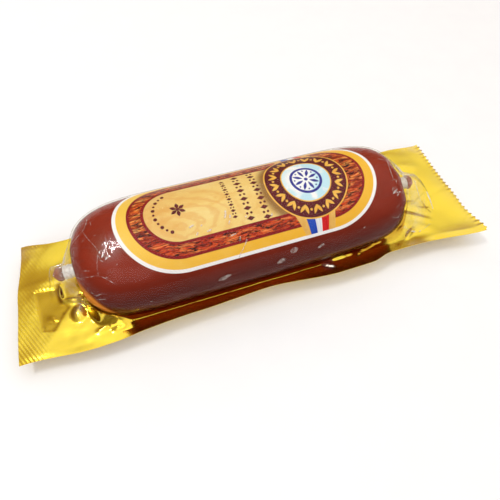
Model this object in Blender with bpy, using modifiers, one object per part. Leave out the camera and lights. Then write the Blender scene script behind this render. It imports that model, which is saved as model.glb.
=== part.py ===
"""A smoked cheese in its casing, clipped at both ends and sealed in a film pack.

The cheese lies along X in a trough of the gold web. A label lies on its top, and a clear film is drawn
tight over it and down to the web, where the two are sealed together all round. Units are metres, +Z is up,
and the origin is on the surface that the pack lies on, under the middle of the pack.
"""

import math

import bpy

MM = 0.001

# The cheese: a long rounded body, a little flatter than it is wide.
CHEESE_HALF_WIDTH = 24.0 * MM
CHEESE_HALF_HEIGHT = 20.0 * MM
CHEESE_HALF_LENGTH = 69.2 * MM
CHEESE_CENTRE_X = -6.0 * MM
CAP_LENGTH_LEFT = 36.0 * MM
CAP_LENGTH_RIGHT = 46.5 * MM
CAP_EXPONENT_LEFT = 3.2
CAP_EXPONENT_RIGHT = 4.5
FLAT_DEPTH = 0.6 * MM
CHEESE_STEPS = 40

# The gathered neck and the tail of the casing at each end.
NECK_RADIUS = 1.4 * MM
TAIL_RADIUS = 3.0 * MM
TAIL_LENGTH = 3.9 * MM
NECK_LENGTH_LEFT = 4.7 * MM
NECK_LENGTH_RIGHT = 8.6 * MM
PLEATS = 10
PLEAT_DEPTH = 0.05

# The crimped ring round each neck.
CLIP_WIDTH = 4.0 * MM
CLIP_INNER_RADIUS = 1.8 * MM
CLIP_OUTER_RADIUS = 2.7 * MM
CLIP_CORNER = 0.4 * MM

# The label: a strip with round ends, bent over the top of the cheese.
LABEL_CENTRE_X = -4.5 * MM
LABEL_HALF_LENGTH = 52.6 * MM
LABEL_HALF_WIDTH = 24.0 * MM
LABEL_END = 24.4 * MM
LABEL_THICKNESS = 0.25 * MM
GAP = 0.3 * MM

# The pack: a gold web below, a clear film above, sealed on one level all round the cheese.
WEB_THICKNESS = 0.5 * MM
WEB_CLEARANCE = 1.4 * MM
FILM_THICKNESS = 0.4 * MM
FILM_CLEARANCE = 1.3 * MM
PACK_HALF_LENGTH = 102.7 * MM
SEAL_DROP = 12.0 * MM
FOOT_FILLET = 1.5 * MM
LEFT_END_DROOP = -1.0 * MM
RIGHT_END_LIFT = 1.5 * MM
END_CURL_FROM = 0.72

# Half width of the pack at stations along it, as shares of its half length: the ends flare, the middle is
# drawn in by the vacuum.
FRONT_EDGE = (
    (-1.00, 26.2),
    (-0.72, 28.6),
    (-0.34, 26.6),
    (-0.04, 25.4),
    (0.27, 28.6),
    (0.40, 28.4),
    (0.50, 26.3),
    (0.70, 26.8),
    (1.00, 30.3),
)
BACK_EDGE = (
    (-1.00, 26.8),
    (-0.80, 24.6),
    (-0.40, 26.0),
    (0.10, 25.6),
    (0.50, 27.2),
    (0.82, 30.3),
    (1.00, 28.2),
)

# How far the two end cuts lie inside the pack's full length, at shares of its half width from the front edge
# to the back edge.
LEFT_CUT = (
    (-1.00, 0.0),
    (0.00, 1.0),
    (1.00, 4.1),
)
RIGHT_CUT = (
    (-1.00, 0.0),
    (-0.45, 2.3),
    (1.00, 1.4),
)
END_FROM = 89.0 * MM

# The tents of clear film over the clipped ends: how far they reach past the middle, and how full they are
# in plan on the front and on the back.
TENT_REACH_LEFT = 88.5 * MM
TENT_REACH_RIGHT = 88.5 * MM
TENT_FROM = 34.0 * MM
TENT_EXPONENTS = {(-1, -1): 1.5, (-1, 1): 2.4, (1, -1): 3.4, (1, 1): 3.4}
TENT_LEAST_HALF_WIDTH = 4.0 * MM
TENT_TUBE_RADIUS = 5.0 * MM

# Where the cross lines of the web and the film lie: (line number, place along the pack), as shares of half
# its length. They are closest together over the rounded ends of the cheese.
CROSS_LINES = (
    (-1.00, -1.00),
    (-0.88, -0.88),
    (-0.68, -0.75),
    (-0.44, -0.60),
    (-0.26, -0.40),
    (0.20, 0.30),
    (0.38, 0.48),
    (0.68, 0.655),
    (0.88, 0.86),
    (1.00, 1.00),
)

AXIS_Z = WEB_THICKNESS + GAP + CHEESE_HALF_HEIGHT - FLAT_DEPTH
SEAL_Z = AXIS_Z - SEAL_DROP
HEIGHT_RATIO = CHEESE_HALF_HEIGHT / CHEESE_HALF_WIDTH
LEFT_POLE = CHEESE_CENTRE_X - CHEESE_HALF_LENGTH
RIGHT_POLE = CHEESE_CENTRE_X + CHEESE_HALF_LENGTH
LEFT_TIP = LEFT_POLE - NECK_LENGTH_LEFT - TAIL_LENGTH
RIGHT_TIP = RIGHT_POLE + NECK_LENGTH_RIGHT + TAIL_LENGTH


def mix(a, b, share):
    return a + (b - a) * share


def smooth_share(value, low, high):
    """0 below low, 1 above high, and a smooth rise between them."""
    share = min(1.0, max(0.0, (value - low) / (high - low)))
    return share * share * (3 - 2 * share)


def through(stations, share):
    """A smooth curve through (share, value in mm) stations, in metres."""
    for (a, low), (b, high) in zip(stations, stations[1:]):
        if share <= b:
            return mix(low, high, smooth_share(share, a, b)) * MM
    return stations[-1][1] * MM


def girth(x):
    """The cheese's width at x, as a share of its full width: 1 along the body and 0 at the ends."""
    from_middle = x - CHEESE_CENTRE_X
    exponent = CAP_EXPONENT_LEFT if from_middle < 0 else CAP_EXPONENT_RIGHT
    cap_length = CAP_LENGTH_LEFT if from_middle < 0 else CAP_LENGTH_RIGHT
    into_cap = (abs(from_middle) - (CHEESE_HALF_LENGTH - cap_length)) / cap_length
    if into_cap <= 0:
        return 1.0
    return max(0.0, 1 - into_cap**exponent) ** (1 / exponent)


def grown(x, clearance):
    """Half the width and half the height at x of the cheese grown by a clearance all round."""
    stretch = CHEESE_HALF_LENGTH / (CHEESE_HALF_LENGTH + clearance)
    scale = girth(CHEESE_CENTRE_X + (x - CHEESE_CENTRE_X) * stretch)
    if scale <= 0:
        return 0.0, 0.0
    return scale * CHEESE_HALF_WIDTH + clearance, scale * CHEESE_HALF_HEIGHT + clearance


def edge_y(x, side):
    """The pack's cut edge at x: side -1 is the front and 1 is the back."""
    stations = FRONT_EDGE if side < 0 else BACK_EDGE
    return side * through(stations, x / PACK_HALF_LENGTH)


def flange_z(x):
    """The top of the gold web on the seal, which curls a little at the two ends."""
    share = max(0.0, abs(x) / PACK_HALF_LENGTH - END_CURL_FROM) / (1 - END_CURL_FROM)
    curl = LEFT_END_DROOP if x < 0 else RIGHT_END_LIFT
    return SEAL_Z + curl * share * share


def web_z(x, y):
    """The top of the gold web: flat on the seal, and a trough under the cheese."""
    level = flange_z(x)
    half_width, half_height = grown(x, WEB_CLEARANCE)
    if abs(y) >= half_width:
        return level
    belly = AXIS_Z - half_height * math.sqrt(1 - (y / half_width) ** 2)
    blend = 2.0 * MM
    depth = max(0.0, blend - abs(belly - level)) / blend
    return max(min(level, belly) - depth * depth * blend / 4, WEB_THICKNESS)


def foot_y(x, side, half_width, half_height):
    """Where the clear film leaves the seal for the cheese or for the tent over its tail."""
    level = (flange_z(x) - AXIS_Z) / half_height
    on_cheese = half_width * math.sqrt(max(0.0, 1 - level * level)) + FOOT_FILLET
    reach = TENT_REACH_LEFT if x < 0 else TENT_REACH_RIGHT
    into_tent = (abs(x) - TENT_FROM) / (reach - TENT_FROM)
    if into_tent <= 0:
        return on_cheese
    exponent = TENT_EXPONENTS[(-1 if x < 0 else 1, side)]
    full = CHEESE_HALF_WIDTH - FOOT_FILLET
    tent = full * max(0.0, 1 - min(1.0, into_tent) ** exponent) ** (1 / exponent)
    return max(on_cheese if level > -1 else 0.0, tent, TENT_LEAST_HALF_WIDTH)


def end_cone(direction):
    """Where the taut film leaves an end of the cheese for the tail, and how fast it narrows from there."""
    tip = abs(LEFT_TIP if direction < 0 else RIGHT_TIP)
    steps = 400
    place, slope = tip - CAP_LENGTH_LEFT, 0.0
    for step in range(steps):
        tried = tip - CAP_LENGTH_LEFT * (1 - step / steps)
        radius = grown(direction * tried, FILM_CLEARANCE)[0]
        steeper = (radius - TENT_TUBE_RADIUS) / (tip - tried)
        if steeper > slope:
            place, slope = tried, steeper
    return place, slope


END_CONES = {-1: end_cone(-1), 1: end_cone(1)}


def film_core(x):
    """What the film is drawn over at x: the half width, the half height and the middle's height."""
    direction = -1 if x < 0 else 1
    tip = abs(LEFT_TIP if x < 0 else RIGHT_TIP)
    reach = TENT_REACH_LEFT if x < 0 else TENT_REACH_RIGHT
    place, slope = END_CONES[direction]
    if abs(x) <= place:
        return *grown(x, FILM_CLEARANCE), AXIS_Z
    if abs(x) <= tip:
        radius = TENT_TUBE_RADIUS + slope * (tip - abs(x))
        return radius, mix(radius, radius * HEIGHT_RATIO, smooth_share(tip - abs(x), 0.0, tip - place)), AXIS_Z
    share = min(1.0, (abs(x) - tip) / (reach - tip))
    shrunk = mix(TENT_TUBE_RADIUS, 1.0 * MM, share)
    return shrunk, shrunk, mix(AXIS_Z, flange_z(x), share**0.8)


# Where the film's grid has its edge, foot and first touch of the cheese, from 1 at the cut edge to 0 on top.
EDGE_SHARE = 1.0
FOOT_SHARE = 0.80
TOUCH_SHARE = 0.70


def film_point(x, across):
    """A point of the film's inner face: across is -1 at the front edge, 0 on top and 1 at the back edge."""
    side = -1 if across < 0 else 1
    share = abs(across)
    half_width, half_height, middle = film_core(x)
    level = flange_z(x) + GAP
    foot = foot_y(x, side, half_width, half_height)
    if share >= FOOT_SHARE:
        out = (share - FOOT_SHARE) / (EDGE_SHARE - FOOT_SHARE)
        return x, mix(side * foot, edge_y(x, side), out), level
    reach = TENT_REACH_LEFT if x < 0 else TENT_REACH_RIGHT
    if abs(x) >= reach:
        return x, side * foot * share / FOOT_SHARE, level
    foot_across = foot / half_width
    foot_up = (level - middle) / half_height
    distance = max(1.0001, math.hypot(foot_across, foot_up))
    touch = math.atan2(foot_up, foot_across) + math.acos(1 / distance)
    if share >= TOUCH_SHARE:
        up = (FOOT_SHARE - share) / (FOOT_SHARE - TOUCH_SHARE)
        y = mix(foot, half_width * math.cos(touch), up)
        return x, side * y, mix(level, middle + half_height * math.sin(touch), up)
    angle = mix(math.pi / 2, touch, share / TOUCH_SHARE)
    return x, side * half_width * math.cos(angle), middle + half_height * math.sin(angle)


def along_pack(share):
    """The place along the pack of a cross line of the web or the film."""
    for (a, low), (b, high) in zip(CROSS_LINES, CROSS_LINES[1:]):
        if share <= b:
            return PACK_HALF_LENGTH * mix(low, high, (share - a) / (b - a))
    return PACK_HALF_LENGTH


def cut_x(x, across):
    """Moves a cross line near an end of the pack to follow the end's cut, which isn't quite square."""
    cut = through(LEFT_CUT if x < 0 else RIGHT_CUT, across)
    out = max(0.0, abs(x) - END_FROM) / (PACK_HALF_LENGTH - END_FROM)
    return x - math.copysign(cut * out, x)


def label_angle(arc):
    """The angle from the top at which a strip of that length, laid round the cheese, ends."""
    steps = 60
    angle, left = 0.0, abs(arc)
    step = left / steps
    for _ in range(steps):
        run = math.hypot(CHEESE_HALF_WIDTH * math.cos(angle), CHEESE_HALF_HEIGHT * math.sin(angle))
        angle += step / run
    return math.copysign(angle, arc)


def label_point(along, across):
    """A point of the label's inner face, for shares from -1 to 1 along and across it."""
    straight = LABEL_HALF_LENGTH - LABEL_END
    if abs(along) <= 0.5:
        x = straight * along * 2
        half_width = LABEL_HALF_WIDTH
    else:
        turn = (abs(along) - 0.5) * 2 * math.radians(80)
        reach = math.sin(turn) / math.sin(math.radians(80))
        x = math.copysign(straight + LABEL_END * reach, along)
        half_width = LABEL_HALF_WIDTH * math.cos(turn)
    x += LABEL_CENTRE_X
    angle = label_angle(across * half_width)
    scale = girth(x)
    y = CHEESE_HALF_WIDTH * scale * math.sin(angle)
    z = CHEESE_HALF_HEIGHT * scale * math.cos(angle)
    lean_y = math.sin(angle) * HEIGHT_RATIO
    lean_z = math.cos(angle)
    length = math.hypot(lean_y, lean_z)
    return x, y + GAP * lean_y / length, AXIS_Z + z + GAP * lean_z / length


def remove_everything():
    for item in list(bpy.data.objects):
        bpy.data.objects.remove(item, do_unlink=True)


def material(name, colour, roughness, metallic=0.0, alpha=1.0):
    made = bpy.data.materials.new(name)
    made.use_nodes = True
    shader = made.node_tree.nodes["Principled BSDF"]
    shader.inputs["Base Color"].default_value = (*colour, 1.0)
    shader.inputs["Roughness"].default_value = roughness
    shader.inputs["Metallic"].default_value = metallic
    shader.inputs["Alpha"].default_value = alpha
    return made


def add_object(name, mesh, collection, finish):
    made = bpy.data.objects.new(name, mesh)
    collection.objects.link(made)
    made.data.materials.clear()
    made.data.materials.append(finish)
    return made


def formed_sheet(name, collection, finish, along, across, thickness, outward, shape):
    """A grid bent to a shape, a function of two shares from -1 to 1, and given its thickness."""
    bpy.ops.mesh.primitive_grid_add(x_subdivisions=along, y_subdivisions=across, size=2)
    sheet = bpy.context.object
    mesh = sheet.data
    for vertex in mesh.vertices:
        vertex.co = shape(vertex.co.x, vertex.co.y)
    bpy.data.objects.remove(sheet)
    made = add_object(name, mesh, collection, finish)
    wall = made.modifiers.new("wall", "SOLIDIFY")
    wall.thickness = thickness
    wall.offset = 1 if outward else -1
    return made


def turned(profile, steps, closed):
    """The mesh of a profile of (distance along X, radius) turned about X, from its right end to its left."""
    mesh = bpy.data.meshes.new("profile")
    count = len(profile)
    edges = [(i, i + 1) for i in range(count - 1)]
    if closed:
        edges.append((count - 1, 0))
    mesh.from_pydata([(radius, 0, x) for x, radius in profile], edges, [])
    guide = bpy.data.objects.new("profile", mesh)
    bpy.context.scene.collection.objects.link(guide)
    screw = guide.modifiers.new("turn", "SCREW")
    screw.axis = "Z"
    screw.steps = steps
    screw.render_steps = steps
    screw.use_merge_vertices = True
    screw.merge_threshold = 0.00001
    bpy.context.view_layer.update()
    found = bpy.data.meshes.new_from_object(guide.evaluated_get(bpy.context.evaluated_depsgraph_get()))
    bpy.data.objects.remove(guide)
    for vertex in found.vertices:
        out, over, along = vertex.co
        vertex.co = (along, out, over)
    found.shade_smooth()
    return found


def cap_profile(direction):
    """From the end of the straight body to the tip of the tail, for direction 1 (right) or -1 (left)."""
    pole = RIGHT_POLE if direction > 0 else LEFT_POLE
    neck_length = NECK_LENGTH_RIGHT if direction > 0 else NECK_LENGTH_LEFT
    cap_length = CAP_LENGTH_RIGHT if direction > 0 else CAP_LENGTH_LEFT
    start = CHEESE_CENTRE_X + direction * (CHEESE_HALF_LENGTH - cap_length)
    points = []
    for share in (0.0, 0.22, 0.42, 0.58, 0.70, 0.80, 0.88, 0.94, 0.975):
        x = mix(start, pole, share)
        points.append((x, CHEESE_HALF_WIDTH * girth(x)))
    tail_start = pole + direction * neck_length
    points.append((pole, NECK_RADIUS * 1.3))
    points.append((mix(pole, tail_start, 0.08), NECK_RADIUS))
    points.append((tail_start, NECK_RADIUS))
    for share in (0.12, 0.45, 0.80, 1.0):
        swell = math.sin(math.pi * (0.30 + 0.70 * share)) if share < 1 else 0.0
        points.append((tail_start + direction * TAIL_LENGTH * share, TAIL_RADIUS * swell))
    return points


def settle(mesh):
    """Flattens the turned body to its true height, rests it on a flat strip and gathers its ends."""
    for vertex in mesh.vertices:
        x, y, z = vertex.co
        radius = math.hypot(y, z)
        body = smooth_share(radius, TAIL_RADIUS * 1.2, CHEESE_HALF_WIDTH * 0.7)
        from_pole = min(x - LEFT_POLE, RIGHT_POLE - x)
        gather = 1 - smooth_share(from_pole, 2 * MM, 16 * MM)
        if from_pole < -1 * MM:
            gather = 0.0
        pleat = 1 + PLEAT_DEPTH * gather * math.cos(PLEATS * math.atan2(y, z))
        height = z * pleat * mix(1.0, HEIGHT_RATIO, body)
        vertex.co = (x, y * pleat, AXIS_Z + max(height, FLAT_DEPTH - CHEESE_HALF_HEIGHT))


def build_cheese(collection, finish):
    left = cap_profile(-1)
    right = cap_profile(1)
    start, end = left[0][0], right[0][0]
    body = [(mix(end, start, share), CHEESE_HALF_WIDTH) for share in (0.2, 0.4, 0.6, 0.8)]
    mesh = turned(right[::-1] + body + left, CHEESE_STEPS, closed=False)
    settle(mesh)
    return add_object("cheese", mesh, collection, finish)


def build_clip(name, pole, neck_length, direction, collection, finish):
    middle = pole + direction * (neck_length - GAP - CLIP_WIDTH / 2)
    low, high = middle - CLIP_WIDTH / 2, middle + CLIP_WIDTH / 2
    inner, outer, corner = CLIP_INNER_RADIUS, CLIP_OUTER_RADIUS, CLIP_CORNER
    profile = [
        (high - corner, outer),
        (low + corner, outer),
        (low, outer - corner),
        (low, inner + corner / 2),
        (low + corner / 2, inner),
        (high - corner / 2, inner),
        (high, inner + corner / 2),
        (high, outer - corner),
    ]
    mesh = turned(profile, 20, closed=True)
    for vertex in mesh.vertices:
        vertex.co.z += AXIS_Z
    return add_object(name, mesh, collection, finish)


def web_shape(along, across):
    x = along_pack(along)
    side = -1 if across < 0 else 1
    y = edge_y(x, side) * abs(across)
    return cut_x(x, across), y, web_z(x, y)


def film_shape(along, across):
    x, y, z = film_point(along_pack(along), across)
    side = -1 if across < 0 else 1
    return cut_x(x, side * y / edge_y(x, side)), y, z


def main():
    remove_everything()
    collection = bpy.data.collections.new("smoked_cheese")
    bpy.context.scene.collection.children.link(collection)

    casing = material("casing_brown", (0.23, 0.045, 0.025), 0.35)
    metal = material("clip_white", (0.80, 0.80, 0.78), 0.35, metallic=0.4)
    paper = material("label_print", (0.85, 0.60, 0.22), 0.45)
    gold = material("web_gold", (0.83, 0.62, 0.14), 0.22, metallic=0.9)
    clear = material("film_clear", (0.95, 0.95, 0.93), 0.08, alpha=0.25)

    build_cheese(collection, casing)
    build_clip("clip_left", LEFT_POLE, NECK_LENGTH_LEFT, -1, collection, metal)
    build_clip("clip_right", RIGHT_POLE, NECK_LENGTH_RIGHT, 1, collection, metal)
    formed_sheet("label", collection, paper, 20, 10, LABEL_THICKNESS, True, label_point)
    formed_sheet("gold_web", collection, gold, 40, 18, WEB_THICKNESS, False, web_shape)
    formed_sheet("clear_film", collection, clear, 42, 26, FILM_THICKNESS, True, film_shape)


main()
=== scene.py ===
"""The looks of a smoked cheese in its casing and label, sealed in a pack of gold web and clear film."""
import math

import bpy
from mathutils import Matrix, Vector, noise


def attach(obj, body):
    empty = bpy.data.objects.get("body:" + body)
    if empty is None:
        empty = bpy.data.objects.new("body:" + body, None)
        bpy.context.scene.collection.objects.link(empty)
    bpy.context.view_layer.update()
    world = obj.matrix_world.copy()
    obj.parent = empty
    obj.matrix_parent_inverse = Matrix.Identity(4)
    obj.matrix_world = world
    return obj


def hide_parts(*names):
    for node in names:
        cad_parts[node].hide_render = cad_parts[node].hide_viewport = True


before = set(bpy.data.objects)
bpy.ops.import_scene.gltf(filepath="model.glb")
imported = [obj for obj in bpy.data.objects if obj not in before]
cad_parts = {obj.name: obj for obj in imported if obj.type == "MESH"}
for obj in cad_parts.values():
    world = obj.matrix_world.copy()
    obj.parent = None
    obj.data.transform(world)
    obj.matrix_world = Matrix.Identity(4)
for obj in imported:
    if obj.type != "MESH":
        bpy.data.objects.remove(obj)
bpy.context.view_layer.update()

# ----------------------------------------------
# Sizes, in metres, as the solids have them
# ----------------------------------------------

MM = 0.001

CHEESE_HALF_WIDTH = 24.0 * MM
CHEESE_HALF_HEIGHT = 20.0 * MM
CHEESE_HALF_LENGTH = 69.2 * MM
CHEESE_CENTRE_X = -6.0 * MM
CAP_LENGTH_LEFT = 36.0 * MM
CAP_LENGTH_RIGHT = 46.5 * MM
CAP_EXPONENT_LEFT = 3.2
CAP_EXPONENT_RIGHT = 4.5
FLAT_DEPTH = 0.6 * MM

NECK_RADIUS = 1.4 * MM
TAIL_RADIUS = 3.0 * MM
TAIL_LENGTH = 3.9 * MM
NECK_LENGTH_LEFT = 4.7 * MM
NECK_LENGTH_RIGHT = 8.6 * MM
PLEATS = 10
PLEAT_DEPTH = 0.05

CLIP_WIDTH = 4.0 * MM
CLIP_RADIUS = 2.7 * MM
CLIP_WALL = 0.8 * MM

LABEL_CENTRE_X = -4.5 * MM
LABEL_HALF_LENGTH = 52.4 * MM
LABEL_HALF_WIDTH = 23.5 * MM

AXIS_Z = 20.2 * MM
SEAL_Z = 8.2 * MM
PACK_HALF_LENGTH = 102.7 * MM
FOOT_FILLET = 1.5 * MM
LEFT_END_DROOP = -1.0 * MM
RIGHT_END_LIFT = 1.5 * MM
END_CURL_FROM = 0.72

FRONT_EDGE = (
    (-1.00, 26.2), (-0.72, 28.6), (-0.34, 26.6), (-0.04, 25.4), (0.27, 28.6), (0.42, 28.7), (0.52, 26.5),
    (0.70, 26.8), (1.00, 30.3),
)
BACK_EDGE = (
    (-1.00, 26.8), (-0.80, 24.6), (-0.40, 26.0), (0.10, 25.6), (0.50, 27.2), (0.82, 30.3), (1.00, 28.2),
)
LEFT_CUT = ((-1.00, 0.0), (0.00, 1.0), (1.00, 4.1))
RIGHT_CUT = ((-1.00, 0.0), (-0.45, 2.3), (1.00, 1.4))
END_FROM = 89.0 * MM
TOOTH_PITCH = 2.3 * MM
TOOTH_DEPTH = 1.25 * MM
CRIMP_HEIGHT = 0.22 * MM

TENT_REACH = 88.5 * MM
TENT_FROM = 34.0 * MM
TENT_EXPONENTS = {(-1, -1): 1.5, (-1, 1): 2.4, (1, -1): 3.4, (1, 1): 3.4}
TENT_LEAST_HALF_WIDTH = 4.0 * MM

# The sheets are thinner here than in the solids, and lie closer to the cheese.
WEB_THICKNESS = 0.16 * MM
WEB_CLEARANCE = 0.7 * MM
FILM_THICKNESS = 0.09 * MM
FILM_CLEARANCE = 0.36 * MM
FILM_OVER_WEB = 0.14 * MM
TENT_TUBE_RADIUS = 3.3 * MM

LABEL_LIFT = 0.06 * MM
LABEL_THICKNESS = 0.12 * MM
PRINT_THICKNESS = 0.03 * MM

HEIGHT_RATIO = CHEESE_HALF_HEIGHT / CHEESE_HALF_WIDTH
LEFT_POLE = CHEESE_CENTRE_X - CHEESE_HALF_LENGTH
RIGHT_POLE = CHEESE_CENTRE_X + CHEESE_HALF_LENGTH
LEFT_TIP = LEFT_POLE - NECK_LENGTH_LEFT - TAIL_LENGTH
RIGHT_TIP = RIGHT_POLE + NECK_LENGTH_RIGHT + TAIL_LENGTH


# ----------------------------------------------
# Shapes that the web, the film, the cheese and the label share
# ----------------------------------------------


def mix(a, b, share):
    return a + (b - a) * share


def smooth_share(value, low, high):
    """0 below low, 1 above high, and a smooth rise between them."""
    share = min(1.0, max(0.0, (value - low) / (high - low)))
    return share * share * (3 - 2 * share)


def through(stations, share):
    """A smooth curve through (share, value in mm) stations, in metres."""
    for (a, low), (b, high) in zip(stations, stations[1:]):
        if share <= b:
            return mix(low, high, smooth_share(share, a, b)) * MM
    return stations[-1][1] * MM


def girth(x):
    """The cheese's width at x, as a share of its full width."""
    from_middle = x - CHEESE_CENTRE_X
    exponent = CAP_EXPONENT_LEFT if from_middle < 0 else CAP_EXPONENT_RIGHT
    cap_length = CAP_LENGTH_LEFT if from_middle < 0 else CAP_LENGTH_RIGHT
    into_cap = (abs(from_middle) - (CHEESE_HALF_LENGTH - cap_length)) / cap_length
    if into_cap <= 0:
        return 1.0
    return max(0.0, 1 - into_cap**exponent) ** (1 / exponent)


def grown(x, clearance):
    """Half the width and half the height at x of the cheese grown by a clearance all round."""
    stretch = CHEESE_HALF_LENGTH / (CHEESE_HALF_LENGTH + clearance)
    scale = girth(CHEESE_CENTRE_X + (x - CHEESE_CENTRE_X) * stretch)
    if scale <= 0:
        return 0.0, 0.0
    return scale * CHEESE_HALF_WIDTH + clearance, scale * CHEESE_HALF_HEIGHT + clearance


def edge_y(x, side):
    """The pack's cut edge at x: side -1 is the front and 1 is the back."""
    stations = FRONT_EDGE if side < 0 else BACK_EDGE
    return side * through(stations, x / PACK_HALF_LENGTH)


def flange_z(x):
    """The level of the seal, which curls a little at the two ends."""
    share = max(0.0, abs(x) / PACK_HALF_LENGTH - END_CURL_FROM) / (1 - END_CURL_FROM)
    curl = LEFT_END_DROOP if x < 0 else RIGHT_END_LIFT
    return SEAL_Z + curl * share * share


# Folds pressed into the gold web: (from x, y, to x, y, width, height), in mm.
WEB_FOLDS = (
    # round the left end of the cheese
    (-83.5, -5.2, -77.2, -6.9, 0.7, 1.1),
    (-84.8, 2.4, -84.5, -5.2, 0.6, 0.9),
    (-77.2, -6.9, -72.6, -14.8, 0.9, 1.4),
    (-75.2, -9.6, -70.4, -15.8, 0.6, 1.1),
    (-98.6, 4.6, -87.0, 2.6, 0.5, 0.10),
    (-72.4, -14.4, -66.8, -18.2, 0.8, 1.3),
    (-73.4, -18.0, -67.4, -19.6, 0.7, -0.8),
    (-72.8, -22.2, -65.2, -20.2, 0.9, 0.8),
    (-66.9, -23.5, -62.9, -22.8, 0.9, 1.2),
    (-76.6, -7.6, -79.6, -12.2, 0.9, 0.5),
    # the panel pressed in at the left end
    (-90.0, -10.6, -87.4, -12.6, 0.7, 0.4),
    # along the front
    (21.8, -21.6, 26.2, -24.6, 0.80, 1.1),
    # fanning out from the right end of the cheese
    (75.6, -1.6, 80.0, -2.9, 0.8, -0.26),
    (71.6, -5.6, 76.0, -9.0, 1.6, -0.60),
    (76.0, -9.4, 82.0, -14.6, 1.7, -0.20),
    (69.0, -8.4, 80.0, -15.0, 1.7, 0.36),
    (66.4, -12.0, 77.0, -19.4, 2.2, 0.40),
    (74.0, 1.8, 80.0, 0.4, 0.9, 0.25),
    (64.8, -21.6, 70.4, -18.0, 1.0, 0.95),
    (62.4, -17.6, 66.4, -15.4, 0.9, 0.60),
    (88.0, -3.2, 101.0, -1.4, 0.9, -0.16),
    (86.8, 8.0, 87.6, -9.0, 1.8, 0.30),
    (74.0, 22.0, 91.5, 15.6, 2.6, 0.25),
    (70.0, 12.0, 89.0, 9.0, 2.4, 0.20),
    # round the back
    (-78.0, 9.0, -66.0, 19.0, 0.8, 1.0),
    (-70.0, 21.5, -40.0, 22.4, 0.6, 0.7),
    (-30.0, 22.6, 20.0, 22.8, 0.5, 0.5),
    (24.0, 23.4, 44.0, 22.8, 0.6, 0.8),
)

# Broad hills and hollows of the gold web: (middle x, y, half sizes, height), in mm.
WEB_SWELLS = (
    (-93.0, 13.0, 14.0, 5.0, -0.45),
    (-92.0, 6.0, 10.0, 2.2, 0.28),
    (-92.0, 28.0, 14.0, 6.0, 0.40),
    (94.0, 22.0, 8.0, 6.0, 0.25),
    (92.0, -33.0, 26.0, 9.0, 2.3),
    (-74.0, -1.5, 7.0, 5.0, 1.7),
    (98.0, 12.0, 7.0, 9.0, -0.25),
)

# Steps pressed along the front seal, steep towards the front, in mm:
# (crest from x, y, to x, y, width, height).
SEAL_STEPS = (
    (-62.0, -21.8, 21.0, -22.0, 0.50, 0.30),
    (26.8, -21.2, 37.0, -21.0, 1.20, 0.86),
    (38.6, -22.2, 41.2, -21.0, 1.50, 0.90),
    (41.2, -21.0, 45.0, -20.3, 1.20, 0.80),
    (45.8, -20.2, 51.8, -18.9, 1.05, 0.75),
    (54.9, -17.8, 57.2, -17.4, 0.90, 0.60),
)

# How far behind its crest a step begins.
STEP_BACK = 0.5

# In front of the cheese the web slopes up towards its edge, from this far off the middle, in mm.
FRONT_SLOPE = 0.21
FRONT_SLOPE_FROM = 21.5

# The teardrop pressed up beside the left tail: middle and half sizes, in mm.
TEARDROP = (-79.2, -12.4, 3.0, 3.6, 1.0)

# The outline and the depth of the pressed panel at the left end, in mm.
PANEL = ((-95.6, 3.0), (-86.1, 1.3), (-85.5, -4.1), (-82.2, -8.5), (-84.7, -10.8), (-89.1, -16.7),
         (-93.4, -15.3), (-94.3, -9.3))
PANEL_DEPTH = 0.16


def distance_to_line(x, y, x1, y1, x2, y2):
    """How far a point is from a stretch of straight line, and how far along the stretch it lies."""
    run_x, run_y = x2 - x1, y2 - y1
    along = ((x - x1) * run_x + (y - y1) * run_y) / (run_x * run_x + run_y * run_y)
    along = min(1.0, max(0.0, along))
    return math.hypot(x - x1 - run_x * along, y - y1 - run_y * along), along


def depth_in_panel(x, y):
    """How far inside the pressed panel a point lies, in mm; less than 0 outside it."""
    inside = False
    nearest = 99.0
    for (x1, y1), (x2, y2) in zip(PANEL, PANEL[1:] + PANEL[:1]):
        nearest = min(nearest, distance_to_line(x, y, x1, y1, x2, y2)[0])
        if (y1 > y) != (y2 > y) and x < (x2 - x1) * (y - y1) / (y2 - y1) + x1:
            inside = not inside
    return nearest if inside else -nearest


def climb(x, y):
    """How far up the cheese's left end the web is drawn on the front, as a share."""
    if y > 0:
        return 0.0
    return smooth_share(x, -78 * MM, -71 * MM) * (1 - smooth_share(x, -66 * MM, -57 * MM))


def folds_at(x, y):
    """How high the folds of the web stand at a point, all in mm, as in the next two functions."""
    raised = 0.0
    for x1, y1, x2, y2, width, height in WEB_FOLDS:
        reach = 3 * width
        if min(x1, x2) - reach < x < max(x1, x2) + reach and min(y1, y2) - reach < y < max(y1, y2) + reach:
            away, along = distance_to_line(x, y, x1, y1, x2, y2)
            ends = 0.35 + 0.65 * math.sin(math.pi * min(1.0, max(0.0, 0.12 + 0.76 * along)))
            raised += height * ends * math.exp(-((away / width) ** (1.4 if width < 1 else 1.9)))
    return raised


def steps_at(x, y):
    """How high the seal's steps stand: a long slope at the back of the crest's line, a steep one in front."""
    raised = 0.0
    for x1, y1, x2, y2, width, height in SEAL_STEPS:
        if x1 - 0.6 < x < x2 + 0.6:
            wander = 0.16 * math.sin(x * 1.7) + 0.10 * math.sin(x * 0.9 + 2)
            in_front = mix(y1, y2, (x - x1) / (x2 - x1)) - y + (wander if x1 > 0 else 0.3 * wander)
            ends = smooth_share(x, x1 - 0.6, x1 + 0.4) * (1 - smooth_share(x, x2 - 0.4, x2 + 0.6))
            down = in_front / width if in_front > 0 else -in_front / STEP_BACK
            raised += height * ends * max(0.0, 1 - down)
    return raised


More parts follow.
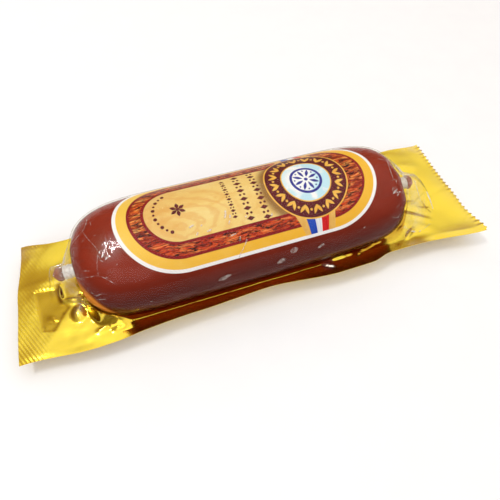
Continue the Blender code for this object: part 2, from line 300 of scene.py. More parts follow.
def swells_at(x, y):
    """How high the hills, the teardrop and the pressed panel stand."""
    raised = 0.0
    for middle_x, middle_y, half_x, half_y, height in WEB_SWELLS:
        raised += height * math.exp(-(((x - middle_x) / half_x) ** 2) - ((y - middle_y) / half_y) ** 2)
    middle_x, middle_y, half_x, half_y, height = TEARDROP
    out = math.hypot((x - middle_x) / half_x, (y - middle_y) / half_y)
    raised += height * max(0.0, 1 - out * out) ** 0.8
    if -97 < x < -80 and -19 < y < 5:
        raised -= PANEL_DEPTH * smooth_share(depth_in_panel(x, y), -0.3, 0.4)
    return raised


def relief(x, y):
    """How far the folds, the panel and the crumple of the web stand up at a point, in metres."""
    place = Vector((x, y, 0.0))
    x_mm, y_mm = x / MM, y / MM
    raised = folds_at(x_mm, y_mm) + steps_at(x_mm, y_mm) + swells_at(x_mm, y_mm)
    soft = noise.noise(place * 90) * 0.22 + noise.noise(place * 260 + Vector((3, 1, 0))) * 0.04
    soft *= 1 - 0.55 * smooth_share(x_mm, 60, 80) * smooth_share(y_mm, -2, 8)
    wave = 0.25 * math.sin(x_mm * 0.21 + y_mm * 0.13) * smooth_share(abs(x_mm), 50, 80)
    edge = abs(y) / abs(edge_y(x, -1 if y < 0 else 1))
    settled = 1 - 0.5 * smooth_share(edge, 0.90, 1.0)
    beside = smooth_share(x_mm, -66, -56) * (1 - smooth_share(x_mm, 66, 80))
    beside *= 1 + 0.8 * smooth_share(x_mm, 30, 60)
    past = max(0.0, -y_mm - FRONT_SLOPE_FROM)
    slope = FRONT_SLOPE * beside * past * past / (past + 1.5)
    crimp = CRIMP_HEIGHT * math.sin(2 * math.pi * y / TOOTH_PITCH) * smooth_share(x_mm, 98.8, 101.4)
    return ((raised + soft + wave) * settled + slope) * MM + crimp


def web_z(x, y):
    """The top of the gold web: the seal with its folds, and a trough under the cheese."""
    level = flange_z(x)
    half_width, half_height = grown(x, WEB_CLEARANCE)
    lip = climb(x, y)
    top = level + relief(x, y)
    if lip > 0:
        crest_z = AXIS_Z - half_height * 0.42
        crest_y = half_width * math.sqrt(1 - 0.42**2)
        away = (abs(y) - crest_y) / (5.5 * MM)
        if away >= 0:
            fall = max(0.0, 1 - away) ** 1.6
            ripple = 0.12 * MM * math.sin(abs(y) / MM * 2.6 + x / MM * 0.9) * fall
            return mix(top, max(top, level + (crest_z - level) * fall + ripple), lip)
        belly = AXIS_Z - half_height * math.sqrt(1 - (y / half_width) ** 2)
        return max(min(mix(level, crest_z, lip), belly), WEB_THICKNESS)
    if abs(y) >= half_width:
        return top
    belly = AXIS_Z - half_height * math.sqrt(1 - (y / half_width) ** 2)
    blend = 0.9 * MM
    depth = max(0.0, blend - abs(belly - top)) / blend
    return max(min(top, belly) - depth * depth * blend / 4, WEB_THICKNESS)


def foot_y(x, side, half_width, half_height):
    """Where the clear film leaves the seal for the cheese or for the tent over its tail."""
    level = (flange_z(x) - AXIS_Z) / half_height
    on_cheese = half_width * math.sqrt(max(0.0, 1 - level * level)) + FOOT_FILLET
    into_tent = (abs(x) - TENT_FROM) / (TENT_REACH - TENT_FROM)
    if side < 0:
        on_cheese += 3.2 * MM * climb(x, -1.0)
    if into_tent <= 0:
        return on_cheese
    exponent = TENT_EXPONENTS[(-1 if x < 0 else 1, side)]
    full = CHEESE_HALF_WIDTH - FOOT_FILLET
    tent = full * max(0.0, 1 - min(1.0, into_tent) ** exponent) ** (1 / exponent)
    return max(on_cheese if level > -1 else 0.0, tent, TENT_LEAST_HALF_WIDTH)


def cone_tip(direction):
    """Where the film, coming down from the cheese, meets the clip."""
    return abs(LEFT_POLE) + 4.0 * MM if direction < 0 else abs(RIGHT_POLE) + 8.0 * MM


def end_cone(direction):
    """Where the taut film leaves an end of the cheese for the tail, and how fast it narrows from there."""
    tip = cone_tip(direction)
    steps = 400
    place, slope = tip - CAP_LENGTH_LEFT, 0.0
    for step in range(steps):
        tried = tip - CAP_LENGTH_LEFT * (1 - step / steps)
        radius = grown(direction * tried, FILM_CLEARANCE)[0]
        steeper = (radius - TENT_TUBE_RADIUS) / (tip - tried)
        if steeper > slope:
            place, slope = tried, steeper
    return place, slope


END_CONES = {-1: end_cone(-1), 1: end_cone(1)}


def film_core(x):
    """What the film is drawn over at x: the half width, the half height and the middle's height."""
    direction = -1 if x < 0 else 1
    tip = abs(LEFT_TIP if x < 0 else RIGHT_TIP)
    narrow = cone_tip(direction)
    place, slope = END_CONES[direction]
    if abs(x) <= place:
        return *grown(x, FILM_CLEARANCE), AXIS_Z
    if abs(x) <= narrow:
        radius = TENT_TUBE_RADIUS + slope * (narrow - abs(x))
        flat = mix(radius, radius * HEIGHT_RATIO, smooth_share(narrow - abs(x), 0.0, narrow - place))
        return radius, flat, AXIS_Z
    if abs(x) <= tip:
        return TENT_TUBE_RADIUS, TENT_TUBE_RADIUS, AXIS_Z
    share = min(1.0, (abs(x) - tip) / (TENT_REACH - tip))
    shrunk = mix(TENT_TUBE_RADIUS, 1.0 * MM, share)
    return shrunk, shrunk, mix(AXIS_Z, flange_z(x), share**1.25)


# Where the film's grid has its foot and its first touch of the cheese, from 1 at the cut edge to 0 on top.
FOOT_SHARE = 0.78
TOUCH_SHARE = 0.66


def film_pull(x, across):
    """The small folds of the film over the two tails, in metres."""
    over_left = smooth_share(-x, 68 * MM, 78 * MM) * (1 - smooth_share(-x, 84 * MM, TENT_REACH))
    over_right = smooth_share(x, 54 * MM, 66 * MM) * (1 - smooth_share(x, 80 * MM, TENT_REACH))
    folds = math.sin(across * 46 + 1.2) + 0.6 * math.sin(across * 83 + 0.4)
    crumple = noise.noise(Vector((x * 240, across * 9, 0.5)))
    pull = (0.16 * over_left + 0.22 * over_right) * folds + 0.3 * (over_left + over_right) * crumple
    return pull * MM


def film_point(x, across):
    """A point of the film's inner face: across is -1 at the front edge, 0 on top and 1 at the back edge."""
    side = -1 if across < 0 else 1
    share = abs(across)
    half_width, half_height, middle = film_core(x)
    foot = foot_y(x, side, half_width, half_height)
    if share >= FOOT_SHARE or abs(x) >= TENT_REACH:
        if share >= FOOT_SHARE:
            y = side * mix(foot, abs(edge_y(x, side)), (share - FOOT_SHARE) / (1 - FOOT_SHARE))
        else:
            y = side * foot * share / FOOT_SHARE
        return x, y, web_z(x, y) + FILM_OVER_WEB
    level = web_z(x, side * foot) + FILM_OVER_WEB
    foot_across = foot / half_width
    foot_up = (level - middle) / half_height
    distance = max(1.0001, math.hypot(foot_across, foot_up))
    touch = math.atan2(foot_up, foot_across) + math.acos(1 / distance)
    if share >= TOUCH_SHARE:
        up = (FOOT_SHARE - share) / (FOOT_SHARE - TOUCH_SHARE)
        y = side * mix(foot, half_width * math.cos(touch), up)
        z = mix(level, middle + half_height * math.sin(touch), up)
        pull = film_pull(x, across)
        return x, y + side * pull, max(z + pull * 0.5, web_z(x, y) + FILM_OVER_WEB)
    angle = mix(math.pi / 2, touch, share / TOUCH_SHARE)
    pull = film_pull(x, across)
    y = side * (half_width + pull) * math.cos(angle)
    return x, y, middle + (half_height + pull) * math.sin(angle)


def cut_x(x, y):
    """Moves a point near an end of the pack to follow the end's cut, with its pinked edge on the right."""
    side = -1 if y < 0 else 1
    across = y / abs(edge_y(x, side))
    cut = through(LEFT_CUT if x < 0 else RIGHT_CUT, across)
    if x > 0:
        tooth = abs((y / TOOTH_PITCH) % 1.0 - 0.5) * 2
        cut += TOOTH_DEPTH * tooth * smooth_share(x, 0.985 * PACK_HALF_LENGTH, PACK_HALF_LENGTH)
    out = max(0.0, abs(x) - END_FROM) / (PACK_HALF_LENGTH - END_FROM)
    return x - math.copysign(cut * out, x)


ARC_STEPS = 1200
ARC_ANGLES = [0.0]
ARC_STEP = 40 * MM / ARC_STEPS
for _ in range(ARC_STEPS):
    turned = ARC_ANGLES[-1]
    run = math.hypot(CHEESE_HALF_WIDTH * math.cos(turned), CHEESE_HALF_HEIGHT * math.sin(turned))
    ARC_ANGLES.append(turned + ARC_STEP / run)


def label_angle(arc):
    """The angle from the top at which a strip of that length, laid round the cheese, ends."""
    place = min(ARC_STEPS - 1e-6, abs(arc) / ARC_STEP)
    low = int(place)
    return math.copysign(mix(ARC_ANGLES[low], ARC_ANGLES[low + 1], place - low), arc)


def on_casing(u, v, lift):
    """The point at a place of the flat label once it is laid on the cheese, lifted off the casing."""
    x = LABEL_CENTRE_X + u
    angle = label_angle(v)
    scale = girth(x)
    lean_y = math.sin(angle) * HEIGHT_RATIO
    lean_z = math.cos(angle)
    length = math.hypot(lean_y, lean_z)
    y = CHEESE_HALF_WIDTH * scale * math.sin(angle) + lift * lean_y / length
    return x, y, AXIS_Z + CHEESE_HALF_HEIGHT * scale * math.cos(angle) + lift * lean_z / length


# ----------------------------------------------
# Modelling helpers
# ----------------------------------------------


def deselect_all():
    for item in list(bpy.context.selected_objects):
        item.select_set(False)


def take(piece):
    """Makes a piece the only one selected."""
    deselect_all()
    piece.select_set(True)
    bpy.context.view_layer.objects.active = piece


def settle_primitive(name):
    """Names the primitive just added and puts its place into its mesh."""
    piece = bpy.context.object
    piece.name = name
    piece.data.name = name
    bpy.ops.object.transform_apply(location=True, rotation=True, scale=True)
    return piece


def apply_modifier(piece, kind, **settings):
    take(piece)
    modifier = piece.modifiers.new(kind.lower(), kind)
    for key, value in settings.items():
        setattr(modifier, key, value)
    bpy.ops.object.modifier_apply(modifier=modifier.name)


def smooth(piece, degrees=180):
    take(piece)
    if degrees >= 180:
        bpy.ops.object.shade_smooth()
    else:
        bpy.ops.object.shade_smooth_by_angle(angle=math.radians(degrees))


def join(pieces, name):
    take(pieces[0])
    for piece in pieces[1:]:
        piece.select_set(True)
    bpy.ops.object.join()
    joined = bpy.context.object
    joined.name = name
    joined.data.name = name
    return joined


def edit_faces():
    """Goes into edit mode with all faces selected."""
    bpy.ops.object.mode_set(mode="EDIT")
    bpy.ops.mesh.select_mode(type="FACE")
    bpy.ops.mesh.select_all(action="SELECT")


def end_edit():
    bpy.ops.object.mode_set(mode="OBJECT")


def bisect_at(place, direction):
    bpy.ops.mesh.select_all(action="SELECT")
    bpy.ops.mesh.bisect(plane_co=place, plane_no=direction, use_fill=False)


def cut_into_cells(piece, size_u, size_v):
    """Cuts a flat piece along straight lines both ways, so that it can be laid round the cheese."""
    take(piece)
    cuts = []
    for axis, size in ((0, size_u), (1, size_v)):
        places = [vertex.co[axis] for vertex in piece.data.vertices]
        direction = (1 - axis, axis, 0)
        for step in range(math.ceil(min(places) / size), math.floor(max(places) / size) + 1):
            cuts.append((step * size * Vector(direction), direction))
    bpy.ops.object.mode_set(mode="EDIT")
    for place, direction in cuts:
        bisect_at(place, direction)
    end_edit()


def lay_on_casing(piece, lift, thickness, size_u=1.9 * MM, size_v=1.3 * MM):
    """Keeps the flat places as the piece's UV map, bends it round the cheese and gives it its thickness."""
    cut_into_cells(piece, size_u, size_v)
    take(piece)
    bpy.ops.object.mode_set(mode="EDIT")
    bpy.ops.mesh.select_all(action="SELECT")
    bpy.ops.mesh.remove_doubles(threshold=0.00001)
    bpy.ops.mesh.normals_make_consistent(inside=False)
    end_edit()
    mesh = piece.data
    if sum(face.normal.z for face in mesh.polygons) < 0:
        mesh.flip_normals()
    for layer in list(mesh.uv_layers):
        mesh.uv_layers.remove(layer)
    layer = mesh.uv_layers.new(name="flat_print")
    for loop in mesh.loops:
        place = mesh.vertices[loop.vertex_index].co
        layer.data[loop.index].uv = (0.5 + place.x / 0.12, 0.5 + place.y / 0.12)
    for vertex in mesh.vertices:
        vertex.co = on_casing(vertex.co.x, vertex.co.y, lift)
    apply_modifier(piece, "SOLIDIFY", thickness=thickness, offset=1)
    smooth(piece, 40)
    return piece


def bent_grid(name, lines_along, lines_across, shape):
    deselect_all()
    bpy.ops.mesh.primitive_grid_add(x_subdivisions=lines_along, y_subdivisions=lines_across, size=2)
    piece = settle_primitive(name)
    for vertex in piece.data.vertices:
        vertex.co = shape(vertex.co.x, vertex.co.y)
    return piece


def drawn_out(name, profile, steps):
    """A round bar along X, drawn out ring by ring from a disc: profile gives (x, radius) of each ring."""
    deselect_all()
    place, radius = profile[0]
    bpy.ops.mesh.primitive_circle_add(
        vertices=steps, radius=radius, fill_type="NGON", location=(place, 0, 0), rotation=(0, math.pi / 2, 0)
    )
    piece = settle_primitive(name)
    edit_faces()
    for x, wider in profile[1:]:
        bpy.ops.mesh.extrude_region_move(TRANSFORM_OT_translate={"value": (x - place, 0, 0)})
        bpy.ops.transform.resize(value=(1, wider / radius, wider / radius), center_override=(x, 0, 0))
        place, radius = x, wider
    bpy.ops.mesh.select_all(action="SELECT")
    bpy.ops.mesh.normals_make_consistent(inside=False)
    end_edit()
    return piece


def dress(piece, *finishes):
    piece.data.materials.clear()
    for finish in finishes:
        piece.data.materials.append(finish)


def number_attribute(piece, name, values):
    """A number for each vertex, which the piece's own material reads."""
    layer = piece.data.attributes.new(name=name, type="FLOAT", domain="POINT")
    layer.data.foreach_set("value", values)


# ----------------------------------------------
# Materials
# ----------------------------------------------


def shade(red, green, blue):
    """A colour given in 0 to 255, as the shaders take it."""
    linear = []
    for value in (red / 255, green / 255, blue / 255):
        linear.append(value / 12.92 if value <= 0.04045 else ((value + 0.055) / 1.055) ** 2.4)
    return (*linear, 1.0)


def blank(name):
    made = bpy.data.materials.new(name)
    made.use_nodes = True
    made.node_tree.nodes.clear()
    return made, made.node_tree


def put(tree, kind, sockets=None, **settings):
    """Adds a node; a socket takes a plain value or another node's output."""
    made = tree.nodes.new(kind)
    for key, value in settings.items():
        setattr(made, key, value)
    for key, value in (sockets or {}).items():
        if isinstance(value, bpy.types.NodeSocket):
            tree.links.new(value, made.inputs[key])
        else:
            made.inputs[key].default_value = value
    return made


def calc(tree, operation, *values):
    """A sum on numbers: its result's socket."""
    return put(tree, "ShaderNodeMath", dict(enumerate(values)), operation=operation).outputs[0]


def between(tree, value, low, high, start=0.0, end=1.0):
    """Takes a value's run from low to high smoothly to a run from start to end."""
    made = put(tree, "ShaderNodeMapRange", {0: value, 1: low, 2: high, 3: start, 4: end})
    made.interpolation_type = "SMOOTHSTEP"
    return made.outputs[0]


def ramp(tree, factor, *stops):
    """A colour for each place on a scale of 0 to 1."""
    made = put(tree, "ShaderNodeValToRGB", {"Fac": factor})
    bands = made.color_ramp.elements
    while len(bands) < len(stops):
        bands.new(0.5)
    for band, (place, colour) in zip(bands, stops):
        band.position = place
        band.color = colour
    return made.outputs["Color"]


def blend(tree, factor, first, second, way="MIX"):
    """One colour over another."""
    sockets = {0: factor, 6: first, 7: second}
    return put(tree, "ShaderNodeMix", sockets, data_type="RGBA", blend_type=way).outputs[2]


def grain(tree, place, scale, detail=3.0, rough=0.55, distortion=0.0):
    made = put(tree, "ShaderNodeTexNoise", {
        "Vector": place, "Scale": scale, "Detail": detail, "Roughness": rough, "Distortion": distortion,
    })
    return made.outputs["Fac"]


def stretched(tree, place, scale, turn=(0, 0, 0), shift=(0, 0, 0)):
    return put(tree, "ShaderNodeMapping", {
        "Vector": place, "Scale": scale, "Rotation": turn, "Location": shift,
    }).outputs["Vector"]


def bumped(tree, height, strength, distance, under=None):
    sockets = {"Height": height, "Strength": strength, "Distance": distance}
    if under is not None:
        sockets["Normal"] = under
    return put(tree, "ShaderNodeBump", sockets).outputs["Normal"]


def object_place(tree):
    return put(tree, "ShaderNodeTexCoord").outputs["Object"]


def flat_place(tree):
    """The place on the flat label, in mm from its middle."""
    uv = put(tree, "ShaderNodeTexCoord").outputs["UV"]
    return stretched(tree, uv, (120, 120, 1), shift=(-60, -60, 0))


def axes_of(tree, place):
    return put(tree, "ShaderNodeSeparateXYZ", {0: place}).outputs


def distance_from(tree, place, point):
    return put(tree, "ShaderNodeVectorMath", {0: place, 1: point}, operation="DISTANCE").outputs["Value"]


def number_of(tree, attribute):
    return put(tree, "ShaderNodeAttribute", attribute_name=attribute).outputs["Fac"]


def times(tree, first, second):
    return calc(tree, "MULTIPLY", first, second)


def close(tree, shader):
    tree.links.new(shader, put(tree, "ShaderNodeOutputMaterial").inputs["Surface"])


def principled(tree, sockets):
    return put(tree, "ShaderNodeBsdfPrincipled", sockets).outputs[0]


def partly_clear(tree, share, shader, tint):
    """What shows a shader over a share of it, and is clear for the rest."""
    through = put(tree, "ShaderNodeBsdfTransparent", {"Color": tint})
    return put(tree, "ShaderNodeMixShader", {0: share, 1: through.outputs[0], 2: shader}).outputs[0]


def smoked_casing():
    made, tree = blank("smoked_casing")
    place = object_place(tree)
    axes = axes_of(tree, place)
    mottle = grain(tree, place, 70, 4, 0.6)
    along = grain(tree, stretched(tree, place, (60, 520, 520)), 1.0, 3, 0.6)
    patches = grain(tree, stretched(tree, place, (26, 40, 40)), 1.0, 2)
    colour = ramp(tree, mottle, (0.30, shade(131, 45, 30)), (0.72, shade(150, 53, 36)))
    colour = blend(tree, between(tree, along, 0.45, 0.8, 0.0, 0.30), colour, shade(96, 30, 21))
    colour = blend(tree, between(tree, patches, 0.42, 0.75, 0.0, 0.30), colour, shade(150, 56, 36))
    # Darker towards the bottom: a painted shade on the casing's lower sides.
    colour = blend(tree, between(tree, axes[2], 0.037, 0.022), colour, shade(84, 23, 15))

    # The front of its underside glows with the light that the gold throws back, higher up at the left end.
    higher = between(tree, axes[0], -0.0585, -0.0735, 0.0, 0.0155)
    from_gold = between(tree, calc(tree, "SUBTRACT", axes[2], higher), 0.0140, 0.0096, 0.0, 0.90)
    glow = ramp(tree, from_gold, (0.30, shade(176, 80, 40)), (0.90, shade(232, 148, 62)))
    glow = blend(tree, between(tree, axes[0], -0.0560, -0.0680), shade(172, 66, 54), glow)
    front = between(tree, axes[1], -0.004, -0.012)
    colour = blend(tree, times(tree, from_gold, front), colour, glow)

    # The tails are browner, and the right one is painted lighter still: painted light on it.
    left_tail = between(tree, axes[0], -0.0757, -0.0772)
    right_tail = between(tree, axes[0], 0.0640, 0.0660)
    tail_colour = blend(tree, between(tree, mottle, 0.35, 0.65), shade(112, 58, 40), shade(154, 90, 62))
    tail_colour = blend(tree, right_tail, tail_colour, shade(172, 92, 60))
    colour = blend(tree, calc(tree, "MAXIMUM", left_tail, right_tail), colour, tail_colour)

    fine = grain(tree, stretched(tree, place, (300, 1500, 1500)), 1.0, 3, 0.6)
    close(tree, principled(tree, {
        "Base Color": colour, "Roughness": between(tree, along, 0.3, 0.8, 0.20, 0.34),
        "Normal": bumped(tree, mottle, 0.4, 0.0002, bumped(tree, fine, 0.35, 0.00006)), "IOR": 1.48,
        "Specular IOR Level": 0.06, "Coat Weight": 0.05, "Coat Roughness": 0.08,
    }))
    return made


def printed(name, colour_of, rough=0.42, fibre=0.25):
    """A printed field of the label: colour_of makes its colour from the place on the flat label."""
    made, tree = blank(name)
    flat = flat_place(tree)
    fibres = grain(tree, flat, 3.2, 4, 0.65)
    dots = between(tree, grain(tree, flat, 9.0, 2, 0.5), 0.35, 0.75, 0.0, 0.03)
    close(tree, principled(tree, {
        "Base Color": blend(tree, dots, colour_of(tree, flat), (0.12, 0.06, 0.03, 1.0), "MULTIPLY"),
        "Roughness": between(tree, fibres, 0.3, 0.7, rough - 0.05, rough + 0.06),
        "Normal": bumped(tree, fibres, fibre, 0.00004), "IOR": 1.45, "Specular IOR Level": 0.22,
    }))
    return made


def plain_print(light, dark):
    """A field of one colour, with the slight unevenness of print."""
    def colour_of(tree, flat):
        return ramp(tree, grain(tree, flat, 0.18, 3, 0.6), (0.35, dark), (0.65, light))
    return colour_of


def yellow_print(tree, flat):
    """Paler at the left end and deeper towards the front edge."""
    axes = axes_of(tree, flat)
    colour = ramp(
        tree, between(tree, axes[0], -46, 40),
        (0.0, shade(248, 204, 84)), (0.55, shade(246, 194, 62)), (1.0, shade(246, 191, 58)),
    )
    colour = blend(tree, between(tree, axes[1], -6, -22, 0.0, 0.30), colour, shade(240, 168, 40))
    cloud = between(tree, grain(tree, flat, 0.16, 3), 0.4, 0.8, 0.0, 0.16)
    return blend(tree, cloud, colour, shade(255, 224, 130))


def white_edge_print(tree, flat):
    """White, with faint slanting ribs at the front."""
    white = plain_print(shade(253, 253, 255), shade(247, 247, 252))(tree, flat)
    axes = axes_of(tree, flat)
    slant = calc(tree, "MULTIPLY_ADD", axes[1], 0.7, axes[0])
    ribs = between(tree, calc(tree, "SINE", times(tree, slant, 5.2)), 0.1, 1.0, 0.0, 0.20)
    front = between(tree, axes[1], -12.0, -18.0)
    return blend(tree, times(tree, ribs, front), white, shade(206, 206, 222))


def wood_print(tree, flat):
    """Planks of smoking wood: long red, orange and dark streaks."""
    bent = times(tree, grain(tree, stretched(tree, flat, (0.05, 0.10, 1)), 1.0, 2), 4.0)
    push = put(tree, "ShaderNodeCombineXYZ", {1: bent}).outputs[0]
    grained = put(tree, "ShaderNodeVectorMath", {0: flat, 1: push}, operation="ADD").outputs[0]
    broad = grain(tree, stretched(tree, grained, (0.11, 0.66, 1)), 1.0, 4, 0.66, 0.4)
    fine = grain(tree, stretched(tree, grained, (0.40, 2.6, 1)), 1.0, 3, 0.65)
    dark = grain(tree, stretched(tree, grained, (0.26, 1.15, 1), (0, 0, 0.05), (7, 3, 0)), 1.0, 5, 0.75, 0.8)
    knots = grain(tree, stretched(tree, grained, (0.55, 1.5, 1), (0, 0, 0.1), (2, 9, 0)), 1.0, 4, 0.7, 0.5)
    colour = ramp(
        tree, broad, (0.38, shade(128, 34, 14)), (0.46, shade(188, 66, 24)), (0.53, shade(230, 112, 42)),
        (0.60, shade(254, 178, 92)),
    )
    front = between(tree, axes_of(tree, flat)[1], -4.0, -14.0, 0.0, 0.46)
    colour = blend(tree, front, colour, shade(218, 58, 32))
    colour = blend(tree, between(tree, fine, 0.53, 0.60, 0.0, 0.80), colour, shade(112, 28, 14))
    colour = blend(tree, between(tree, dark, 0.525, 0.555, 0.0, 0.97), colour, shade(36, 14, 10))
    return blend(tree, between(tree, knots, 0.575, 0.605, 0.0, 0.95), colour, shade(46, 16, 12))


def cream_print(tree, flat):
    """The middle of the label: pale wood with rings round its heart, and the printed shade round the disc."""
    cloud = grain(tree, stretched(tree, flat, (0.07, 0.13, 1)), 1.0, 4, 0.65, 0.5)
    colour = ramp(
        tree, cloud, (0.32, shade(243, 217, 144)), (0.52, shade(241, 207, 126)), (0.72, shade(232, 182, 96)),
    )
    left_end = between(tree, axes_of(tree, flat)[0], -20.0, -41.0, 0.0, 0.45)
    colour = blend(tree, left_end, colour, shade(224, 168, 92))
    from_heart = distance_from(tree, stretched(tree, flat, (0.72, 1.0, 1)), (-21.0, -6.0, 0.0))
    drift = grain(tree, stretched(tree, flat, (0.09, 0.14, 1)), 1.0, 2, 0.5, 0.8)
    waved = calc(tree, "MULTIPLY_ADD", drift, 9.0, from_heart)
    rings = between(tree, calc(tree, "SINE", times(tree, waved, 1.55)), 0.0, 1.0)
    fading = between(tree, from_heart, 9.0, 22.0, 0.46, 0.10)
    colour = blend(tree, times(tree, rings, fading), colour, shade(228, 170, 92))
    shadow = between(tree, distance_from(tree, flat, (22.0, -0.8, 0.0)), 16.6, 20.4, 0.85, 0.0)
    return blend(tree, shadow, colour, shade(132, 84, 38))


def disc_middle_print(tree, flat):
    """White with soft pale blue clouds."""
    cloud = grain(tree, stretched(tree, flat, (0.16, 0.16, 1), shift=(4, 2, 0)), 1.0, 2, 0.5, 0.6)
    off = between(tree, distance_from(tree, flat, (20.5, 1.0, 0.0)), 3.5, 8.5)
    blue = times(tree, off, between(tree, cloud, 0.36, 0.52))
    return blend(tree, blue, shade(250, 251, 254), shade(196, 234, 250))


def ribbon_print(base, fold):
    """A stripe of ribbon: its own colour, a little darker along soft folds."""
    def colour_of(tree, flat):
        waves = grain(tree, stretched(tree, flat, (1.1, 0.05, 1)), 1.0, 2)
        return ramp(tree, waves, (0.35, fold), (0.60, base))
    return colour_of


def clear_film():
    """Clear where it is looked straight through and mirror-like at a slant, hazy where it is creased."""
    made, tree = blank("clear_film")
    place = object_place(tree)
    haze = number_of(tree, "haze")
    slack = number_of(tree, "slack")
    taut = between(tree, slack, 0.05, 0.30, 1.0, 0.0)
    facing = put(tree, "ShaderNodeLayerWeight", {"Blend": 0.5}).outputs["Facing"]

    # Its mirror, with soft wrinkles and a sharp crackle where it is slack.
    slant = times(tree, calc(tree, "POWER", facing, 5.5), between(tree, slack, 0.10, 0.40, 0.05, 0.11))
    gloss = calc(tree, "ADD", slant, calc(tree, "MULTIPLY_ADD", slack, 0.085, 0.002))
    wrinkle = grain(tree, place, 190, 3, 0.55, 0.8)
    cells = put(tree, "ShaderNodeTexVoronoi", {"Vector": place, "Scale": 170.0}, feature="DISTANCE_TO_EDGE")
    crackle = between(tree, cells.outputs["Distance"], 0.0, 0.12)
    normal = bumped(tree, wrinkle, calc(tree, "MULTIPLY_ADD", slack, 0.9, 0.05), 0.0007)
    normal = bumped(tree, crackle, times(tree, slack, 0.55), 0.00025, normal)
    shine = put(tree, "ShaderNodeBsdfGlossy", {
        "Color": (1, 1, 1, 1), "Roughness": between(tree, wrinkle, 0.3, 0.8, 0.04, 0.12), "Normal": normal,
    })

    # What is seen through it is darker edge-on, and low at the front a painted shade darkens it.
    edge_on = times(tree, between(tree, facing, 0.86, 0.99), taut)
    seen = blend(tree, edge_on, (0.985, 0.985, 0.975, 1.0), (0.66, 0.60, 0.55, 1.0))
    painted_front_shade = times(
        tree, between(tree, facing, 0.52, 0.88), between(tree, axes_of(tree, place)[1], -0.012, -0.020)
    )
    seen = blend(tree, times(tree, painted_front_shade, taut), seen, (0.78, 0.66, 0.62, 1.0))
    milky = put(tree, "ShaderNodeBsdfDiffuse", {"Color": (0.95, 0.93, 0.88, 1.0), "Normal": normal})
    cloud = times(tree, haze, between(tree, grain(tree, place, 260, 3), 0.35, 0.75, 0.25, 1.0))
    body = partly_clear(tree, cloud, milky.outputs[0], seen)
    close(tree, put(tree, "ShaderNodeMixShader", {0: gloss, 1: body, 2: shine.outputs[0]}).outputs[0])
    return made


def film_mark(name, colour, cloud, solid, rough, ripple, coat=0.0):
    """A pale mark on the film, partly clear.

    cloud is its grain's scale, roughness, low and high; solid is how much of it shows there, least and most.
    """
    made, tree = blank(name)
    place = object_place(tree)
    scale, uneven, low, high = cloud
    shown = between(tree, grain(tree, place, scale, 3, uneven), low, high, *solid)
    if isinstance(rough, tuple):
        rough = between(tree, shown, 0.2, 0.8, *rough)
    shine = principled(tree, {
        "Base Color": colour, "Roughness": rough, "Coat Weight": coat,
        "Normal": bumped(tree, grain(tree, place, ripple[0], 2), ripple[1], 0.0001),
    })
    close(tree, partly_clear(tree, shown, shine, (0.98, 0.97, 0.96, 1.0)))
    return made


def film_crease():
    """The white, half clear line that a fold of film shows; its white is a painted highlight on the fold."""
    return film_mark(
        "film_crease", (0.90, 0.86, 0.82, 1.0), (900, 0.6, 0.34, 0.72), (0.10, 0.72), (0.12, 0.3), (1400, 0.6)
    )


def film_glint():
    """Where a fold of film throws the window back: white, and broken up."""
    return film_mark(
        "film_glint", (1.0, 0.99, 0.97, 1.0), (1100, 0.6, 0.34, 0.48), (0.40, 1.0), (0.10, 0.25), (1400, 0.5),
        coat=0.5,
    )


def air_pocket():
    """A flat pocket of air under the film: a pale, soft oval."""
    return film_mark(
        "air_pocket", (0.70, 0.60, 0.57, 1.0), (800, 0.55, 0.35, 0.68), (0.06, 0.36), 0.22, (700, 0.4)
    )


EMBOSS_PITCH = 1.25 * MM
EMBOSS_TURN = math.radians(26)
KNURL_PITCH = 0.9 * MM

# Where the film stands off a fold in front of the cheese and throws the window back, white.
WHITE_FOLD = (24.4 * MM, -23.4 * MM, 8.8 * MM)


def gold_foil():
    """Bright gold foil: soft mirror, fine wrinkles, and slanting lines pressed into its left end."""
    made, tree = blank("gold_foil")
    place = object_place(tree)
    axes = axes_of(tree, place)
    panel = number_of(tree, "panel")
    tone = grain(tree, place, 45, 3, 0.6)
    colour = ramp(tree, tone, (0.30, (0.85, 0.600, 0.050, 1.0)), (0.70, (0.92, 0.680, 0.072, 1.0)))
    # The pressed panel is painted darker: a painted reflection of the dark end of the cheese in the foil.
    colour = blend(tree, times(tree, panel, 0.80), colour, (0.52, 0.310, 0.016, 1.0))

    # Dark blots in the low part of the panel, part of the same painted reflection.
    blot = between(tree, grain(tree, place, 420, 3, 0.7, 1.0), 0.52, 0.62, 0.0, 0.55)
    height = calc(tree, "MULTIPLY_ADD", axes[0], -0.3, axes[1])
    low = times(tree, panel, between(tree, height, 0.0185, 0.0135))
    colour = blend(tree, times(tree, blot, low), colour, (0.26, 0.130, 0.006, 1.0))

    white = between(tree, distance_from(tree, place, WHITE_FOLD), 0.0036, 0.0022, 0.0, 0.9)
    colour = blend(tree, white, colour, (0.96, 0.95, 0.92, 1.0))

    across = calc(
        tree, "ADD", times(tree, axes[0], math.cos(EMBOSS_TURN)), times(tree, axes[1], math.sin(EMBOSS_TURN))
    )
    lines = calc(tree, "SINE", times(tree, across, 2 * math.pi / EMBOSS_PITCH))
    teeth = calc(tree, "SINE", times(tree, axes[0], 2 * math.pi / KNURL_PITCH))
    normal = bumped(tree, grain(tree, place, 130, 3, 0.5, 0.6), 0.12, 0.0009)
    normal = bumped(tree, grain(tree, place, 900, 2, 0.6), 0.08, 0.00008, normal)
    normal = bumped(tree, lines, times(tree, number_of(tree, "pressed"), 0.8), 0.000022, normal)
    normal = bumped(tree, teeth, times(tree, number_of(tree, "ribbed"), 0.9), 0.00014, normal)
    rough = calc(tree, "MULTIPLY_ADD", panel, 0.04, between(tree, tone, 0.3, 0.7, 0.11, 0.16))
    close(tree, principled(tree, {
        "Base Color": colour, "Metallic": 1.0, "Roughness": rough, "Normal": normal,
    }))
    return made


